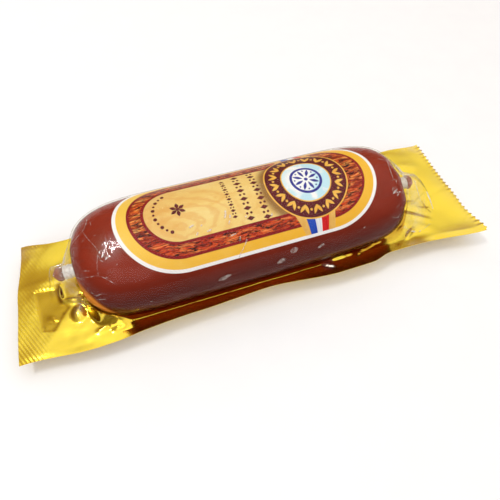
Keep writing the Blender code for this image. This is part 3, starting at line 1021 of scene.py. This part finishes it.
def clip_metal():
    """Pale worn aluminium, darker and warmer on the right."""
    made, tree = blank("clip_aluminium")
    place = object_place(tree)
    worn = grain(tree, place, 420, 3, 0.6)
    colour = ramp(tree, worn, (0.30, (0.86, 0.84, 0.80, 1.0)), (0.52, (1.0, 0.99, 0.97, 1.0)))
    right = between(tree, axes_of(tree, place)[0], 0.0, 0.01)
    brushed = grain(tree, stretched(tree, place, (300, 2600, 2600)), 1.0, 2)
    close(tree, principled(tree, {
        "Base Color": blend(tree, right, colour, (0.80, 0.74, 0.66, 1.0), "MULTIPLY"), "Metallic": 0.12,
        "Roughness": between(tree, worn, 0.3, 0.7, 0.42, 0.26),
        "Normal": bumped(tree, brushed, 0.35, 0.00008),
    }))
    return made


def studio_floor():
    made, tree = blank("studio_floor")
    paper = grain(tree, object_place(tree), 60, 3)
    colour = ramp(tree, paper, (0.3, (0.94, 0.955, 0.985, 1.0)), (0.7, (0.96, 0.975, 1.0, 1.0)))
    close(tree, principled(tree, {"Base Color": colour, "Roughness": 0.75, "Specular IOR Level": 0.1}))
    return made


# ----------------------------------------------
# The cheese, its tails and its clips
# ----------------------------------------------


def end_profile(direction):
    """From the end of the straight body to the tip of the tail, for direction 1 (right) or -1 (left)."""
    pole = RIGHT_POLE if direction > 0 else LEFT_POLE
    neck_length = NECK_LENGTH_RIGHT if direction > 0 else NECK_LENGTH_LEFT
    cap_length = CAP_LENGTH_RIGHT if direction > 0 else CAP_LENGTH_LEFT
    start = CHEESE_CENTRE_X + direction * (CHEESE_HALF_LENGTH - cap_length)
    points = []
    rings = 46
    for ring in range(rings):
        share = math.sin(math.pi / 2 * ring / rings)
        x = mix(start, pole, share)
        points.append((x, max(CHEESE_HALF_WIDTH * girth(x), NECK_RADIUS * 1.3)))
    tail_start = pole + direction * neck_length
    points.append((pole, NECK_RADIUS * 1.3))
    for share in (0.08, 0.3, 0.5, 0.7, 0.9, 1.0):
        points.append((mix(pole, tail_start, share), NECK_RADIUS))
    for share in (0.06, 0.14, 0.26, 0.40, 0.54, 0.68, 0.80, 0.90, 0.96, 1.0):
        swell = math.sin(math.pi * (0.28 + 0.70 * share))
        points.append((tail_start + direction * TAIL_LENGTH * share, TAIL_RADIUS * swell))
    return points


def build_cheese():
    left = end_profile(-1)
    right = end_profile(1)
    start, end = left[0][0], right[0][0]
    body = [(mix(start, end, step / 30), CHEESE_HALF_WIDTH) for step in range(1, 30)]
    piece = drawn_out("cheese_body", left[::-1] + body + right, 144)
    for vertex in piece.data.vertices:
        x, y, z = vertex.co
        radius = math.hypot(y, z)
        angle = math.atan2(y, z)
        flatter = smooth_share(radius, TAIL_RADIUS * 1.2, CHEESE_HALF_WIDTH * 0.7)
        from_pole = min(x - LEFT_POLE, RIGHT_POLE - x)
        gather = 1 - smooth_share(from_pole, 0.3 * MM, 7 * MM)
        if from_pole < -1 * MM:
            gather = 0.0
        small = noise.noise(Vector((math.sin(angle) * 5, math.cos(angle) * 5, x * 40)))
        pleat = 1 - PLEAT_DEPTH * gather * (0.5 + 0.5 * math.cos(PLEATS * angle) + 0.5 * small)
        if from_pole < 0:
            twist = noise.noise(Vector((math.sin(angle) * 3.2, math.cos(angle) * 3.2, x * 500)))
            pleat += 0.20 * twist
        dent = noise.noise(Vector((x * 30, math.sin(angle) * 1.1, math.cos(angle) * 1.1))) * 0.12 * MM
        pleat += dent / CHEESE_HALF_WIDTH
        height = z * pleat * mix(1.0, HEIGHT_RATIO, flatter)
        vertex.co = (x, y * pleat, AXIS_Z + max(height, FLAT_DEPTH - CHEESE_HALF_HEIGHT))
    smooth(piece)
    dress(piece, smoked_casing())
    return piece


def build_clip(name, pole, neck_length, direction, finish):
    """A crimped ring: a short tube with pressed grooves, a folded-over seam and a wall."""
    middle = pole + direction * (neck_length - 0.3 * MM - CLIP_WIDTH / 2)
    deselect_all()
    bpy.ops.mesh.primitive_cylinder_add(
        vertices=48, radius=CLIP_RADIUS, depth=CLIP_WIDTH, end_fill_type="NOTHING",
        location=(middle, 0, AXIS_Z), rotation=(0, math.pi / 2, 0)
    )
    piece = settle_primitive(name)
    bpy.ops.object.mode_set(mode="EDIT")
    for step in range(1, 16):
        bisect_at((middle + CLIP_WIDTH * (step / 16 - 0.5), 0, 0), (1, 0, 0))
    end_edit()
    for vertex in piece.data.vertices:
        x, y, z = vertex.co
        along = (x - middle) / CLIP_WIDTH
        angle = math.atan2(y, z - AXIS_Z)
        groove = math.exp(-(((abs(along) - 0.22) / 0.07) ** 2))
        squeeze = 1 - 0.09 * groove - 0.05 * math.cos(2 * angle)
        squeeze -= 0.05 * math.exp(-(((angle + 0.9) / 0.12) ** 2))
        squeeze += 0.03 * noise.noise(Vector((x * 900, y * 900, z * 900)))
        vertex.co = (x, y * squeeze, AXIS_Z + (z - AXIS_Z) * squeeze)
    apply_modifier(piece, "SOLIDIFY", thickness=CLIP_WALL, offset=-1)
    apply_modifier(
        piece, "BEVEL", width=0.14 * MM, segments=2, limit_method="ANGLE", angle_limit=math.radians(50)
    )
    smooth(piece, 45)
    dress(piece, finish)
    return piece


# ----------------------------------------------
# The label and what is printed on it
# ----------------------------------------------

# How far inside the label's edge each printed field ends, in mm.
FIELD_EDGES = (1.35, 5.15, 6.25, 10.3, 11.4)
DISC_U = 23.0
DISC_RADIUS = 16.8
DISC_RINGS = ((0.0, 0.55), (0.55, 6.7), (6.7, 7.2), (7.2, 16.8))


def inside_edge(u, v, half_length, half_width):
    """How far inside the outline of a strip with round ends a place lies, in mm."""
    past = max(0.0, abs(u) - (half_length - half_width))
    return half_width - math.hypot(past, v)


def build_label():
    """The flat strip is inset field by field, then laid on the cheese."""
    straight = LABEL_HALF_LENGTH - LABEL_HALF_WIDTH
    deselect_all()
    bpy.ops.mesh.primitive_circle_add(vertices=144, radius=LABEL_HALF_WIDTH, fill_type="NGON")
    piece = settle_primitive("label_sheet")
    for vertex in piece.data.vertices:
        if abs(vertex.co.x) > 0.01 * MM:
            vertex.co.x += math.copysign(straight, vertex.co.x)
    edit_faces()
    done = 0.0
    for edge in FIELD_EDGES:
        bpy.ops.mesh.inset(thickness=(edge - done) * MM, depth=0)
        done = edge
    bisect_at((DISC_U * MM, 0, 0), (1, 0, 0))
    end_edit()
    dress(
        piece,
        printed("label_white_edge", white_edge_print, 0.35),
        printed("label_yellow", yellow_print),
        printed("label_dark_red", plain_print(shade(148, 26, 30), shade(128, 20, 26))),
        printed("label_wood", wood_print),
        printed("label_cream", cream_print),
    )
    for face in piece.data.polygons:
        u, v = face.center.x / MM, face.center.y / MM
        inside = inside_edge(u, v, LABEL_HALF_LENGTH / MM, LABEL_HALF_WIDTH / MM)
        field = sum(inside > edge for edge in FIELD_EDGES)
        face.material_index = (0, 1, 2, 3, 2, 4)[field]
        if field >= 4 and u > DISC_U:
            face.material_index = 3
    return lay_on_casing(piece, LABEL_LIFT, LABEL_THICKNESS)


# The ribbon's stripes: their edges beside the disc and at the white edge of the label, in mm.
RIBBON_STRIPES = ("ribbon_tan", "ribbon_blue", "ribbon_white", "ribbon_red", "ribbon_tan")
RIBBON_AT_DISC = (13.0, 17.0, 20.8, 24.1, 27.6, 30.2)
RIBBON_AT_EDGE = (16.2, 18.2, 20.9, 22.9, 25.6, 28.4)
RIBBON_INNER_V = 12.5
RIBBON_OUTER_V = 22.2

# How far off the casing the print begins, a little sunk into what it lies on.
SUNK = 0.01 * MM
ON_LABEL = LABEL_LIFT + LABEL_THICKNESS - SUNK
ON_DISC = ON_LABEL + PRINT_THICKNESS + 0.02 * MM


def build_ribbon(name, side, shift):
    """Side -1 is the front, where the ribbon lies as in the photo; behind it is shifted along the label."""
    stripes = len(RIBBON_STRIPES)
    deselect_all()
    bpy.ops.mesh.primitive_grid_add(x_subdivisions=stripes, y_subdivisions=1, size=2)
    piece = settle_primitive(name)
    for vertex in piece.data.vertices:
        column = round((vertex.co.x + 1) / 2 * stripes)
        edges, v = (RIBBON_AT_DISC, RIBBON_INNER_V) if vertex.co.y > 0 else (RIBBON_AT_EDGE, RIBBON_OUTER_V)
        vertex.co = ((edges[column] + shift) * MM, side * v * MM, 0)
    dress(piece, *(bpy.data.materials[stripe] for stripe in RIBBON_STRIPES))
    for face in piece.data.polygons:
        u = face.center.x / MM - shift
        face.material_index = sum(u > (a + b) / 2 for a, b in zip(RIBBON_AT_DISC, RIBBON_AT_EDGE)) - 1
    return lay_on_casing(piece, ON_LABEL, PRINT_THICKNESS)


def build_disc():
    deselect_all()
    bpy.ops.mesh.primitive_circle_add(
        vertices=128, radius=DISC_RADIUS * MM, fill_type="NGON", location=(DISC_U * MM, 0, 0)
    )
    piece = settle_primitive("label_disc")
    edit_faces()
    for start, end in DISC_RINGS[:-1]:
        bpy.ops.mesh.inset(thickness=(end - start) * MM, depth=0)
    end_edit()
    dress(
        piece,
        bpy.data.materials["print_gold"],
        printed("disc_maroon", plain_print(shade(104, 30, 36), shade(86, 24, 32)), 0.40, 0.05),
        printed("disc_middle", disc_middle_print, 0.40, 0.05),
    )
    for face in piece.data.polygons:
        inside = DISC_RADIUS - math.hypot(face.center.x / MM - DISC_U, face.center.y / MM)
        ring = sum(inside > end for _, end in DISC_RINGS)
        face.material_index = (0, 1, 0, 2, 2)[ring]
    return lay_on_casing(piece, ON_LABEL, PRINT_THICKNESS + 0.03 * MM)


def flat_shape(kind, u, v, wide, high=None, turn=0.0):
    """A small flat printed shape at a place of the label, in mm: a leaf, a dot, a lozenge or a ring."""
    deselect_all()
    count = {"leaf": 24, "dot": 20, "lozenge": 4, "ring": 40}[kind]
    bpy.ops.mesh.primitive_circle_add(vertices=count, radius=1.0, fill_type="NGON")
    piece = settle_primitive("shape")
    if kind == "ring":
        edit_faces()
        bpy.ops.mesh.inset(thickness=0.16, depth=0)
        bpy.ops.mesh.delete(type="FACE")
        end_edit()
    for vertex in piece.data.vertices:
        x, y = vertex.co.x, vertex.co.y
        if kind == "leaf":
            x *= max(0.0, 1 - abs(y)) ** 0.35
        x, y = x * wide / 2, y * (high or wide) / 2
        turned_x = x * math.cos(turn) - y * math.sin(turn)
        turned_y = x * math.sin(turn) + y * math.cos(turn)
        vertex.co = ((u + turned_x) * MM, (v + turned_y) * MM, 0)
    return piece


def round_disc(count, radius, start):
    """Places evenly round the middle of the disc: the turn, u and v of each."""
    for step in range(count):
        turn = start + 2 * math.pi * step / count
        yield turn, DISC_U + radius * math.cos(turn), radius * math.sin(turn)


# Rows of lozenges and beads across the label: (u, lowest v, highest v, length of a lozenge), in mm.
ORNAMENT_ROWS = ((2.9, -11.2, 12.8, 4.0), (-3.4, -10.2, 10.6, 4.0), (-8.9, -8.2, 9.8, 2.6))
FLOWER_U, FLOWER_V = -28.4, 0.7
WREATH_LEAVES = 16
WREATH_RADIUS = 13.1
SPOKES = 8


def build_ornaments():
    """Plain beads, lozenges, leaves and a flower, in the colours of the label's print."""
    maroon = []
    for u, low, high, tall in ORNAMENT_ROWS:
        count = round((high - low) / (tall * 0.95))
        for step in range(count + 1):
            maroon.append(flat_shape("lozenge", u, mix(low, high, step / count), tall * 0.80, tall * 0.46))
        for step in range(count):
            v = mix(low, high, (step + 0.5) / count)
            for aside in (-0.20, 0.20):
                maroon.append(flat_shape("dot", u + tall * aside, v, tall * 0.24))
    # A flower at the left, with an arc of beads round it.
    for petal in range(6):
        turn = petal * math.pi / 3
        u, v = FLOWER_U - 1.75 * math.sin(turn), FLOWER_V + 1.75 * math.cos(turn)
        maroon.append(flat_shape("leaf", u, v, 1.5, 2.7, turn))
    maroon.append(flat_shape("dot", FLOWER_U, FLOWER_V, 1.3))
    for bead in range(11):
        turn = math.radians(118 + bead * 12.4)
        u, v = -28.2 + 9.2 * math.cos(turn), 0.6 + 9.6 * math.sin(turn)
        maroon.append(flat_shape("dot", u, v, 0.95 if bead % 2 else 1.4))

    # A wreath of leaves on the disc.
    gold = []
    for lean in (-1, 1):
        for turn, u, v in round_disc(WREATH_LEAVES, WREATH_RADIUS, lean * 0.060):
            gold.append(flat_shape("leaf", u, v, 1.35, 3.9, turn - math.pi / 2 + lean * 0.42))
    for _, u, v in round_disc(WREATH_LEAVES, WREATH_RADIUS, math.pi / WREATH_LEAVES):
        gold.append(flat_shape("dot", u, v, 1.0))

    # A plain wheel with spokes in the middle of the disc.
    blue = [flat_shape("ring", DISC_U, 0.0, 13.0), flat_shape("dot", DISC_U, 0.0, 1.5)]
    for turn, u, v in round_disc(SPOKES, 3.35, 0.3):
        blue.append(flat_shape("leaf", u, v, 1.25, 3.9, turn - math.pi / 2))
    for _, u, v in round_disc(SPOKES, 4.6, 0.3 + math.pi / SPOKES):
        blue.append(flat_shape("dot", u, v, 0.7))

    pieces = []
    for shapes, name, finish, lift in (
        (maroon, "label_ornaments", "print_maroon", ON_LABEL),
        (gold, "disc_wreath", "print_gold", ON_DISC),
        (blue, "disc_rosette", "print_blue", ON_DISC),
    ):
        piece = join(shapes, name)
        dress(piece, bpy.data.materials[finish])
        pieces.append(lay_on_casing(piece, lift, PRINT_THICKNESS))
    return pieces


# ----------------------------------------------
# The gold web and the clear film
# ----------------------------------------------

# Where the cross lines of the sheets lie: (share of the lines, place in mm). They are closest at the ends.
WEB_LINES = (
    (-1.0, -102.7), (-0.86, -94.0), (-0.42, -58.0), (0.10, 20.0), (0.42, 60.0), (0.86, 92.0), (1.0, 102.7),
)
FILM_LINES = (
    (-1.0, -102.7), (-0.86, -90.0), (-0.44, -60.0), (0.06, 20.0), (0.42, 50.0), (0.88, 90.0), (1.0, 102.7),
)
# Across, the web's lines are closest at the front seal beside the cheese.
SEAL_LINES = ((-1.0, -1.0), (-0.38, -0.74), (0.74, 0.76), (1.0, 1.0))


def line_place(lines, share):
    for (a, low), (b, high) in zip(lines, lines[1:]):
        if share <= b:
            return mix(low, high, (share - a) / (b - a))
    return lines[-1][1]


def web_shape(along, across):
    x = line_place(WEB_LINES, along) * MM
    beside = smooth_share(x, -68 * MM, -58 * MM) * (1 - smooth_share(x, 58 * MM, 68 * MM))
    across = mix(across, line_place(SEAL_LINES, across), beside)
    side = -1 if across < 0 else 1
    y = edge_y(x, side) * abs(across)
    return cut_x(x, y), y, web_z(x, y)


def build_web():
    """The foil, with how much it has of the pressed lines, the panel, which is painted darker as a painted
    reflection, and the knurled line.
    """
    piece = bent_grid("gold_foil_web", 236, 150, web_shape)
    pressed, panel, ribbed = [], [], []
    for vertex in piece.data.vertices:
        x, y = vertex.co.x / MM, vertex.co.y / MM
        inside = smooth_share(depth_in_panel(x, y), -0.5, 0.3) if -98 < x < -80 and abs(y) < 22 else 0.0
        strip = 1 - smooth_share(x, -91.0, -86.0)
        margin = smooth_share(y, 18.5, 20.5) * (1 - smooth_share(x, -80.0, -72.0))
        lighter = mix(1.0, 0.65, smooth_share(y, -8.0, 2.0))
        pressed.append(max(strip, margin) * (1 - inside) * lighter)
        panel.append(inside)
        along = smooth_share(x, -62.0, -58.0) * (1 - smooth_share(x, 20.0, 24.0))
        ribbed.append(along * math.exp(-(((y + 22.4) / 0.7) ** 2)))
    number_attribute(piece, "pressed", pressed)
    number_attribute(piece, "panel", panel)
    number_attribute(piece, "ribbed", ribbed)
    apply_modifier(piece, "SOLIDIFY", thickness=WEB_THICKNESS, offset=-1)
    smooth(piece, 50)
    dress(piece, gold_foil())
    return piece


def film_shape(along, across):
    x, y, z = film_point(line_place(FILM_LINES, along) * MM, across)
    return cut_x(x, y), y, z


def build_film():
    """The film, with how hazy and how slack it is."""
    piece = bent_grid("clear_film_cover", 220, 132, film_shape)
    haze, slack = [], []
    for vertex in piece.data.vertices:
        x, y, z = (value / MM for value in vertex.co)
        above = smooth_share(z, 8.9, 10.0)
        left = smooth_share(-x, 73.8, 77.6) * (1 - 0.8 * smooth_share(-x, 79.0, 82.0))
        right = smooth_share(x, 60.0, 66.0) * (1 - 0.75 * smooth_share(x, 74.0, 78.0))
        behind = smooth_share(y, -2.0, 3.0)
        corner = math.exp(-(((x - 98) / 9) ** 2) - ((y - 27) / 5) ** 2)
        corner += 0.6 * math.exp(-(((x + 99) / 7) ** 2) - ((y - 24) / 5) ** 2)
        over_tails = 0.24 * left * mix(0.5, 1.0, behind) + 0.22 * right * mix(0.4, 1.0, behind)
        haze.append(above * over_tails + 0.10 * corner)
        creased = math.exp(-(((x + 60.6) / 4.2) ** 2) - ((y + 6.8) / 4.6) ** 2) if z > 28 else 0.0
        slack.append(min(1.0, 0.02 + 0.50 * above * (left + right) + 0.75 * creased))
    number_attribute(piece, "haze", haze)
    number_attribute(piece, "slack", slack)
    apply_modifier(piece, "SOLIDIFY", thickness=FILM_THICKNESS, offset=1)
    smooth(piece, 60)
    dress(piece, clear_film())
    return piece


# Creases that stand out of the film: (width in mm, places as x in mm and share across).
CREASES = (
    (0.34, (-65.1, 0.187), (-66.1, 0.121), (-67.4, 0.081)),
    (0.22, (-67.4, 0.081), (-66.1, -0.003), (-64.6, -0.063), (-63.4, -0.113)),
    (0.18, (-63.4, -0.113), (-64.3, -0.168), (-65.1, -0.222), (-65.4, -0.282)),
    (0.24, (-65.4, -0.282), (-63.0, -0.305), (-60.4, -0.333)),
    (0.20, (-67.4, 0.081), (-70.0, 0.068), (-72.9, 0.070)),
    (0.16, (-73.6, -0.239), (-70.0, -0.251), (-65.4, -0.282)),
    (0.16, (-63.5, -0.119), (-61.9, -0.152), (-60.6, -0.181)),
    (0.22, (-70.3, -0.201), (-68.0, -0.222)),
    (0.12, (-68.5, -0.008), (-66.8, 0.003)),
    (0.12, (-63.9, -0.005), (-62.8, -0.009)),
    (0.14, (-64.7, 0.192), (-63.9, 0.078)),
    (0.12, (-72.7, 0.017), (-73.4, -0.059), (-72.8, -0.116)),
    (0.10, (-71.8, 0.007), (-72.4, -0.053)),
    (0.26, (-70.1, -0.364), (-68.4, -0.412), (-66.0, -0.419)),
    (0.24, (-68.9, -0.447), (-65.5, -0.474)),
    (0.34, (-64.0, -0.140), (-63.2, -0.172)),
    (0.30, (-63.0, -0.128), (-62.0, -0.160)),
    (0.36, (-62.4, -0.150), (-61.2, -0.146)),
    (0.30, (-63.8, -0.176), (-62.6, -0.190)),
    (0.26, (-61.6, -0.166), (-60.4, -0.150)),
    (0.26, (-62.8, -0.120), (-61.6, -0.126)),
    (0.22, (52.9, 0.046), (55.0, 0.033)),
    (0.34, (56.7, 0.024), (55.4, -0.063), (54.8, -0.117), (54.6, -0.160)),
    (0.24, (52.6, -0.173), (55.5, -0.172), (57.3, -0.201)),
    (0.28, (48.9, -0.411), (51.0, -0.464), (53.4, -0.496), (54.3, -0.472)),
    (0.18, (52.1, -0.401), (54.0, -0.380)),
    (0.16, (52.5, -0.242), (54.5, -0.232)),
    (0.60, (-12.9, -0.291), (-14.0, -0.316), (-15.5, -0.341), (-16.2, -0.364)),
    (0.30, (58.0, -0.700), (62.0, -0.735), (67.0, -0.768), (72.0, -0.782)),
    (0.26, (73.5, -0.784), (79.5, -0.788)),
    (1.10, (86.3, -0.680), (85.6, -0.720), (84.9, -0.758)),
    (0.44, (75.9, -0.714), (74.8, -0.670), (73.5, -0.627)),
    (0.20, (78.0, -0.740), (80.2, -0.700), (82.0, -0.690)),
)

# Flat marks on the film: (x, share across, length, width, turn in degrees), sizes in mm.
# First pockets of air, then pale specks, painted highlights, over the label and at the right end, then white
# glints.
AIR_POCKETS = (
    (-22.7, -0.475, 5.2, 2.0, 18), (0.5, -0.473, 4.6, 1.9, 16), (5.8, -0.416, 3.2, 2.4, 10),
    (17.2, -0.440, 3.2, 1.3, 22), (-62.8, -0.294, 0.9, 0.6, 0), (-50.6, -0.499, 1.0, 0.5, 10),
    (-58.3, -0.210, 0.8, 0.5, 30), (36.5, -0.430, 1.2, 0.5, 25),
)
FILM_HIGHLIGHT_SPECKS = (
    (-16.8, -0.095, 3.4, 0.90, 70), (-16.3, -0.146, 1.6, 0.50, 60), (-15.3, -0.113, 1.6, 0.60, 75),
    (-30.0, -0.113, 2.0, 0.70, 20), (-28.7, -0.161, 1.3, 0.80, 60), (-24.2, -0.161, 2.0, 0.80, 15),
    (-26.4, -0.122, 1.0, 0.55, 40), (-9.6, -0.137, 1.2, 0.50, 70), (0.1, -0.164, 1.6, 0.70, 60),
    (-16.2, -0.218, 2.6, 0.42, 10), (-14.1, -0.250, 2.0, 0.40, 70), (-12.2, -0.276, 2.4, 0.45, 60),
    (53.4, -0.262, 3.6, 0.9, 14), (54.9, -0.284, 2.4, 0.6, -14), (52.4, -0.236, 1.8, 0.35, 40),
    (55.6, -0.196, 1.5, 0.35, 62), (54.4, -0.300, 1.6, 0.5, 24),
    (62.5, -0.735, 1.6, 0.8, 0), (69.5, -0.775, 1.6, 0.8, 0), (72.6, -0.782, 1.2, 0.7, 0),
)
FILM_GLINTS = (
    (85.3, -0.716, 4.6, 0.80, -78),
    (84.6, -0.690, 2.2, 0.40, -60), (-62.2, -0.150, 1.6, 0.40, 64), (-61.2, -0.170, 1.3, 0.30, 50),
    (-63.0, -0.128, 1.0, 0.30, 80), (68.6, -0.772, 1.8, 0.40, -10),
)


def film_frame(x, across, lift):
    """A place on the film's outer face, with the directions along, across and out of it."""
    here = Vector(film_point(x, across))
    ahead = Vector(film_point(x + 0.4 * MM, across)) - Vector(film_point(x - 0.4 * MM, across))
    over = Vector(film_point(x, across + 0.004)) - Vector(film_point(x, across - 0.004))
    out = ahead.cross(over).normalized()
    ahead.normalize()
    return here + out * (FILM_THICKNESS + lift), ahead, out.cross(ahead), out


def build_creases():
    ridges = []
    for width, *places in CREASES:
        line = bpy.data.curves.new("crease", "CURVE")
        line.dimensions = "3D"
        line.bevel_depth = width * 0.72 * MM / 2
        line.bevel_resolution = 1
        line.use_fill_caps = True
        steps = 8
        points = []
        for (x1, a1), (x2, a2) in zip(places, places[1:]):
            for step in range(steps):
                points.append((mix(x1, x2, step / steps), mix(a1, a2, step / steps)))
        points.append(places[-1])
        spline = line.splines.new("POLY")
        spline.points.add(len(points) - 1)
        for index, (point, (x, across)) in enumerate(zip(spline.points, points)):
            wander = noise.noise(Vector((x * 3.1, across * 40, width))) * 0.12
            place = film_frame((x + wander) * MM, across, -0.05 * MM)[0]
            share = index / (len(points) - 1)
            point.co = (*place, 1.0)
            uneven = 0.8 + 0.4 * noise.noise(place * 2500)
            point.radius = mix(0.25, 1.0, math.sin(math.pi * share) ** 0.5) * uneven
        ridge = bpy.data.objects.new("crease", line)
        bpy.context.scene.collection.objects.link(ridge)
        take(ridge)
        bpy.ops.object.convert(target="MESH")
        ridges.append(bpy.context.object)
    piece = join(ridges, "film_creases")
    smooth(piece)
    dress(piece, film_crease())
    return piece


def build_marks(name, places, finish):
    """Flat, uneven ovals on the film."""
    marks = []
    for x, across, length, width, turn in places:
        place, ahead, over, out = film_frame(x * MM, across, 0.0)
        turned = Matrix.Rotation(math.radians(turn), 3, out)
        axes = Matrix((turned @ ahead, turned @ over, out)).transposed().to_4x4()
        deselect_all()
        bpy.ops.mesh.primitive_uv_sphere_add(segments=20, ring_count=10, radius=0.5)
        piece = settle_primitive("mark")
        for vertex in piece.data.vertices:
            uneven = 1 + 0.25 * noise.noise(vertex.co * 2 + Vector((x, 0, 0)))
            vertex.co = (vertex.co.x * length * uneven, vertex.co.y * width * uneven, vertex.co.z * 0.12)
        piece.data.transform(Matrix.Translation(place) @ axes @ Matrix.Scale(MM, 4))
        marks.append(piece)
    piece = join(marks, name)
    smooth(piece)
    dress(piece, finish)
    return piece


# ----------------------------------------------
# The camera, the light and the floor
# ----------------------------------------------


def build_camera():
    camera = bpy.data.cameras.new("camera")
    camera.lens = 30.284
    camera.sensor_width = 36.0
    camera.clip_start = 0.01
    camera.clip_end = 20.0
    made = bpy.data.objects.new("camera", camera)
    bpy.context.scene.collection.objects.link(made)
    right = Vector((0.9408141, -0.3361750, 0.0430709))
    down = Vector((-0.2624722, -0.8030871, -0.5349388))
    ahead = Vector((0.2144227, 0.4919731, -0.8437923))
    turn = Matrix((right, -down, -ahead)).transposed().to_4x4()
    made.matrix_world = Matrix.Translation((-0.04487, -0.09632, 0.16404)) @ turn
    bpy.context.scene.camera = made


def soft_box(name, direction, distance, wide, high, radiance):
    """An even light that looks at the cheese from a direction, in metres; radiance is how bright it looks."""
    light = bpy.data.lights.new(name, "AREA")
    light.shape = "RECTANGLE"
    light.size = wide
    light.size_y = high
    light.energy = radiance * math.pi * wide * high
    made = bpy.data.objects.new(name, light)
    bpy.context.scene.collection.objects.link(made)
    towards = Vector(direction).normalized()
    made.location = Vector((0, 0, 0.02)) + towards * distance
    made.rotation_euler = towards.to_track_quat("Z", "Y").to_euler()


def build_studio():
    """A sky brighter overhead than at the sides, three soft boxes and a white floor."""
    world = bpy.data.worlds.new("studio")
    world.use_nodes = True
    tree = world.node_tree
    tree.nodes.clear()
    direction = put(tree, "ShaderNodeTexCoord").outputs["Generated"]
    axes = axes_of(tree, direction)
    leaning = calc(tree, "MULTIPLY_ADD", axes[0], 0.35, axes[2])
    dim = between(tree, leaning, 0.0, 0.58, 0.16, 0.46)
    bright = between(tree, leaning, 0.55, 1.00, dim, 1.24)
    aside = between(tree, axes[0], -0.30, 0.20, 1.32, 1.00)
    strength = times(tree, bright, aside)
    warm = ramp(
        tree, strength, (0.25, (1.0, 0.60, 0.34, 1.0)), (0.60, (1.0, 0.80, 0.56, 1.0)),
        (0.95, (1.0, 0.99, 0.98, 1.0)),
    )
    mild = ramp(
        tree, strength, (0.22, (1.0, 0.76, 0.54, 1.0)), (0.55, (1.0, 0.92, 0.84, 1.0)),
        (0.95, (1.0, 0.96, 0.92, 1.0)),
    )
    behind = between(tree, axes[1], -0.15, 0.20)
    colour = blend(tree, behind, mild, warm)
    sky = put(tree, "ShaderNodeBackground", {"Color": colour, "Strength": strength})
    tree.links.new(sky.outputs[0], put(tree, "ShaderNodeOutputWorld").inputs["Surface"])
    bpy.context.scene.world = world
    soft_box("window", (-0.39, 0.12, 0.91), 1.1, 0.26, 0.12, 28.0)
    soft_box("back_strip", (0.10, 0.90, 0.75), 1.6, 1.2, 0.10, 1.4)
    soft_box("front_fill", (-0.5, -1.0, 0.8), 1.6, 1.0, 0.8, 1.4)
    deselect_all()
    bpy.ops.mesh.primitive_plane_add(size=6.0, location=(0, 0, -0.0002))
    floor = settle_primitive("studio_floor")
    dress(floor, studio_floor())
    bpy.context.scene.view_settings.view_transform = "Standard"
    bpy.context.scene.cycles.transparent_max_bounces = 32


# ----------------------------------------------
# Putting it together
# ----------------------------------------------


def main():
    build_camera()
    build_studio()

    printed("print_gold", plain_print(shade(246, 196, 92), shade(232, 172, 66)), 0.32)
    printed("print_maroon", plain_print(shade(112, 44, 44), shade(94, 34, 38)))
    printed("print_blue", plain_print(shade(62, 64, 160), shade(48, 50, 142)), 0.36)
    printed("ribbon_tan", plain_print(shade(236, 190, 104), shade(226, 172, 84)))
    printed("ribbon_blue", ribbon_print(shade(38, 82, 196), shade(26, 62, 168)))
    printed("ribbon_white", ribbon_print(shade(246, 247, 250), shade(214, 220, 232)))
    printed("ribbon_red", ribbon_print(shade(222, 34, 36), shade(190, 22, 30)))

    pieces = {}
    pieces["cheese"] = [build_cheese()]
    metal = clip_metal()
    pieces["clip_left"] = [build_clip("clip_sleeve_left", LEFT_POLE, NECK_LENGTH_LEFT, -1, metal)]
    pieces["clip_right"] = [build_clip("clip_sleeve_right", RIGHT_POLE, NECK_LENGTH_RIGHT, 1, metal)]
    pieces["label"] = [build_label()]
    pieces["label"] += [build_ribbon("ribbon_front", -1, 0.0), build_ribbon("ribbon_back", 1, 2.0)]
    pieces["label"] += [build_disc(), *build_ornaments()]
    pieces["gold_web"] = [build_web()]
    pieces["clear_film"] = [build_film(), build_creases()]
    pieces["clear_film"].append(build_marks("air_pockets", AIR_POCKETS, air_pocket()))
    pieces["clear_film"].append(build_marks("film_specks", FILM_HIGHLIGHT_SPECKS, film_crease()))
    pieces["clear_film"].append(build_marks("film_glints", FILM_GLINTS, film_glint()))

    for node, made in pieces.items():
        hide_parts(node)
        for piece in made:
            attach(piece, "root")


main()
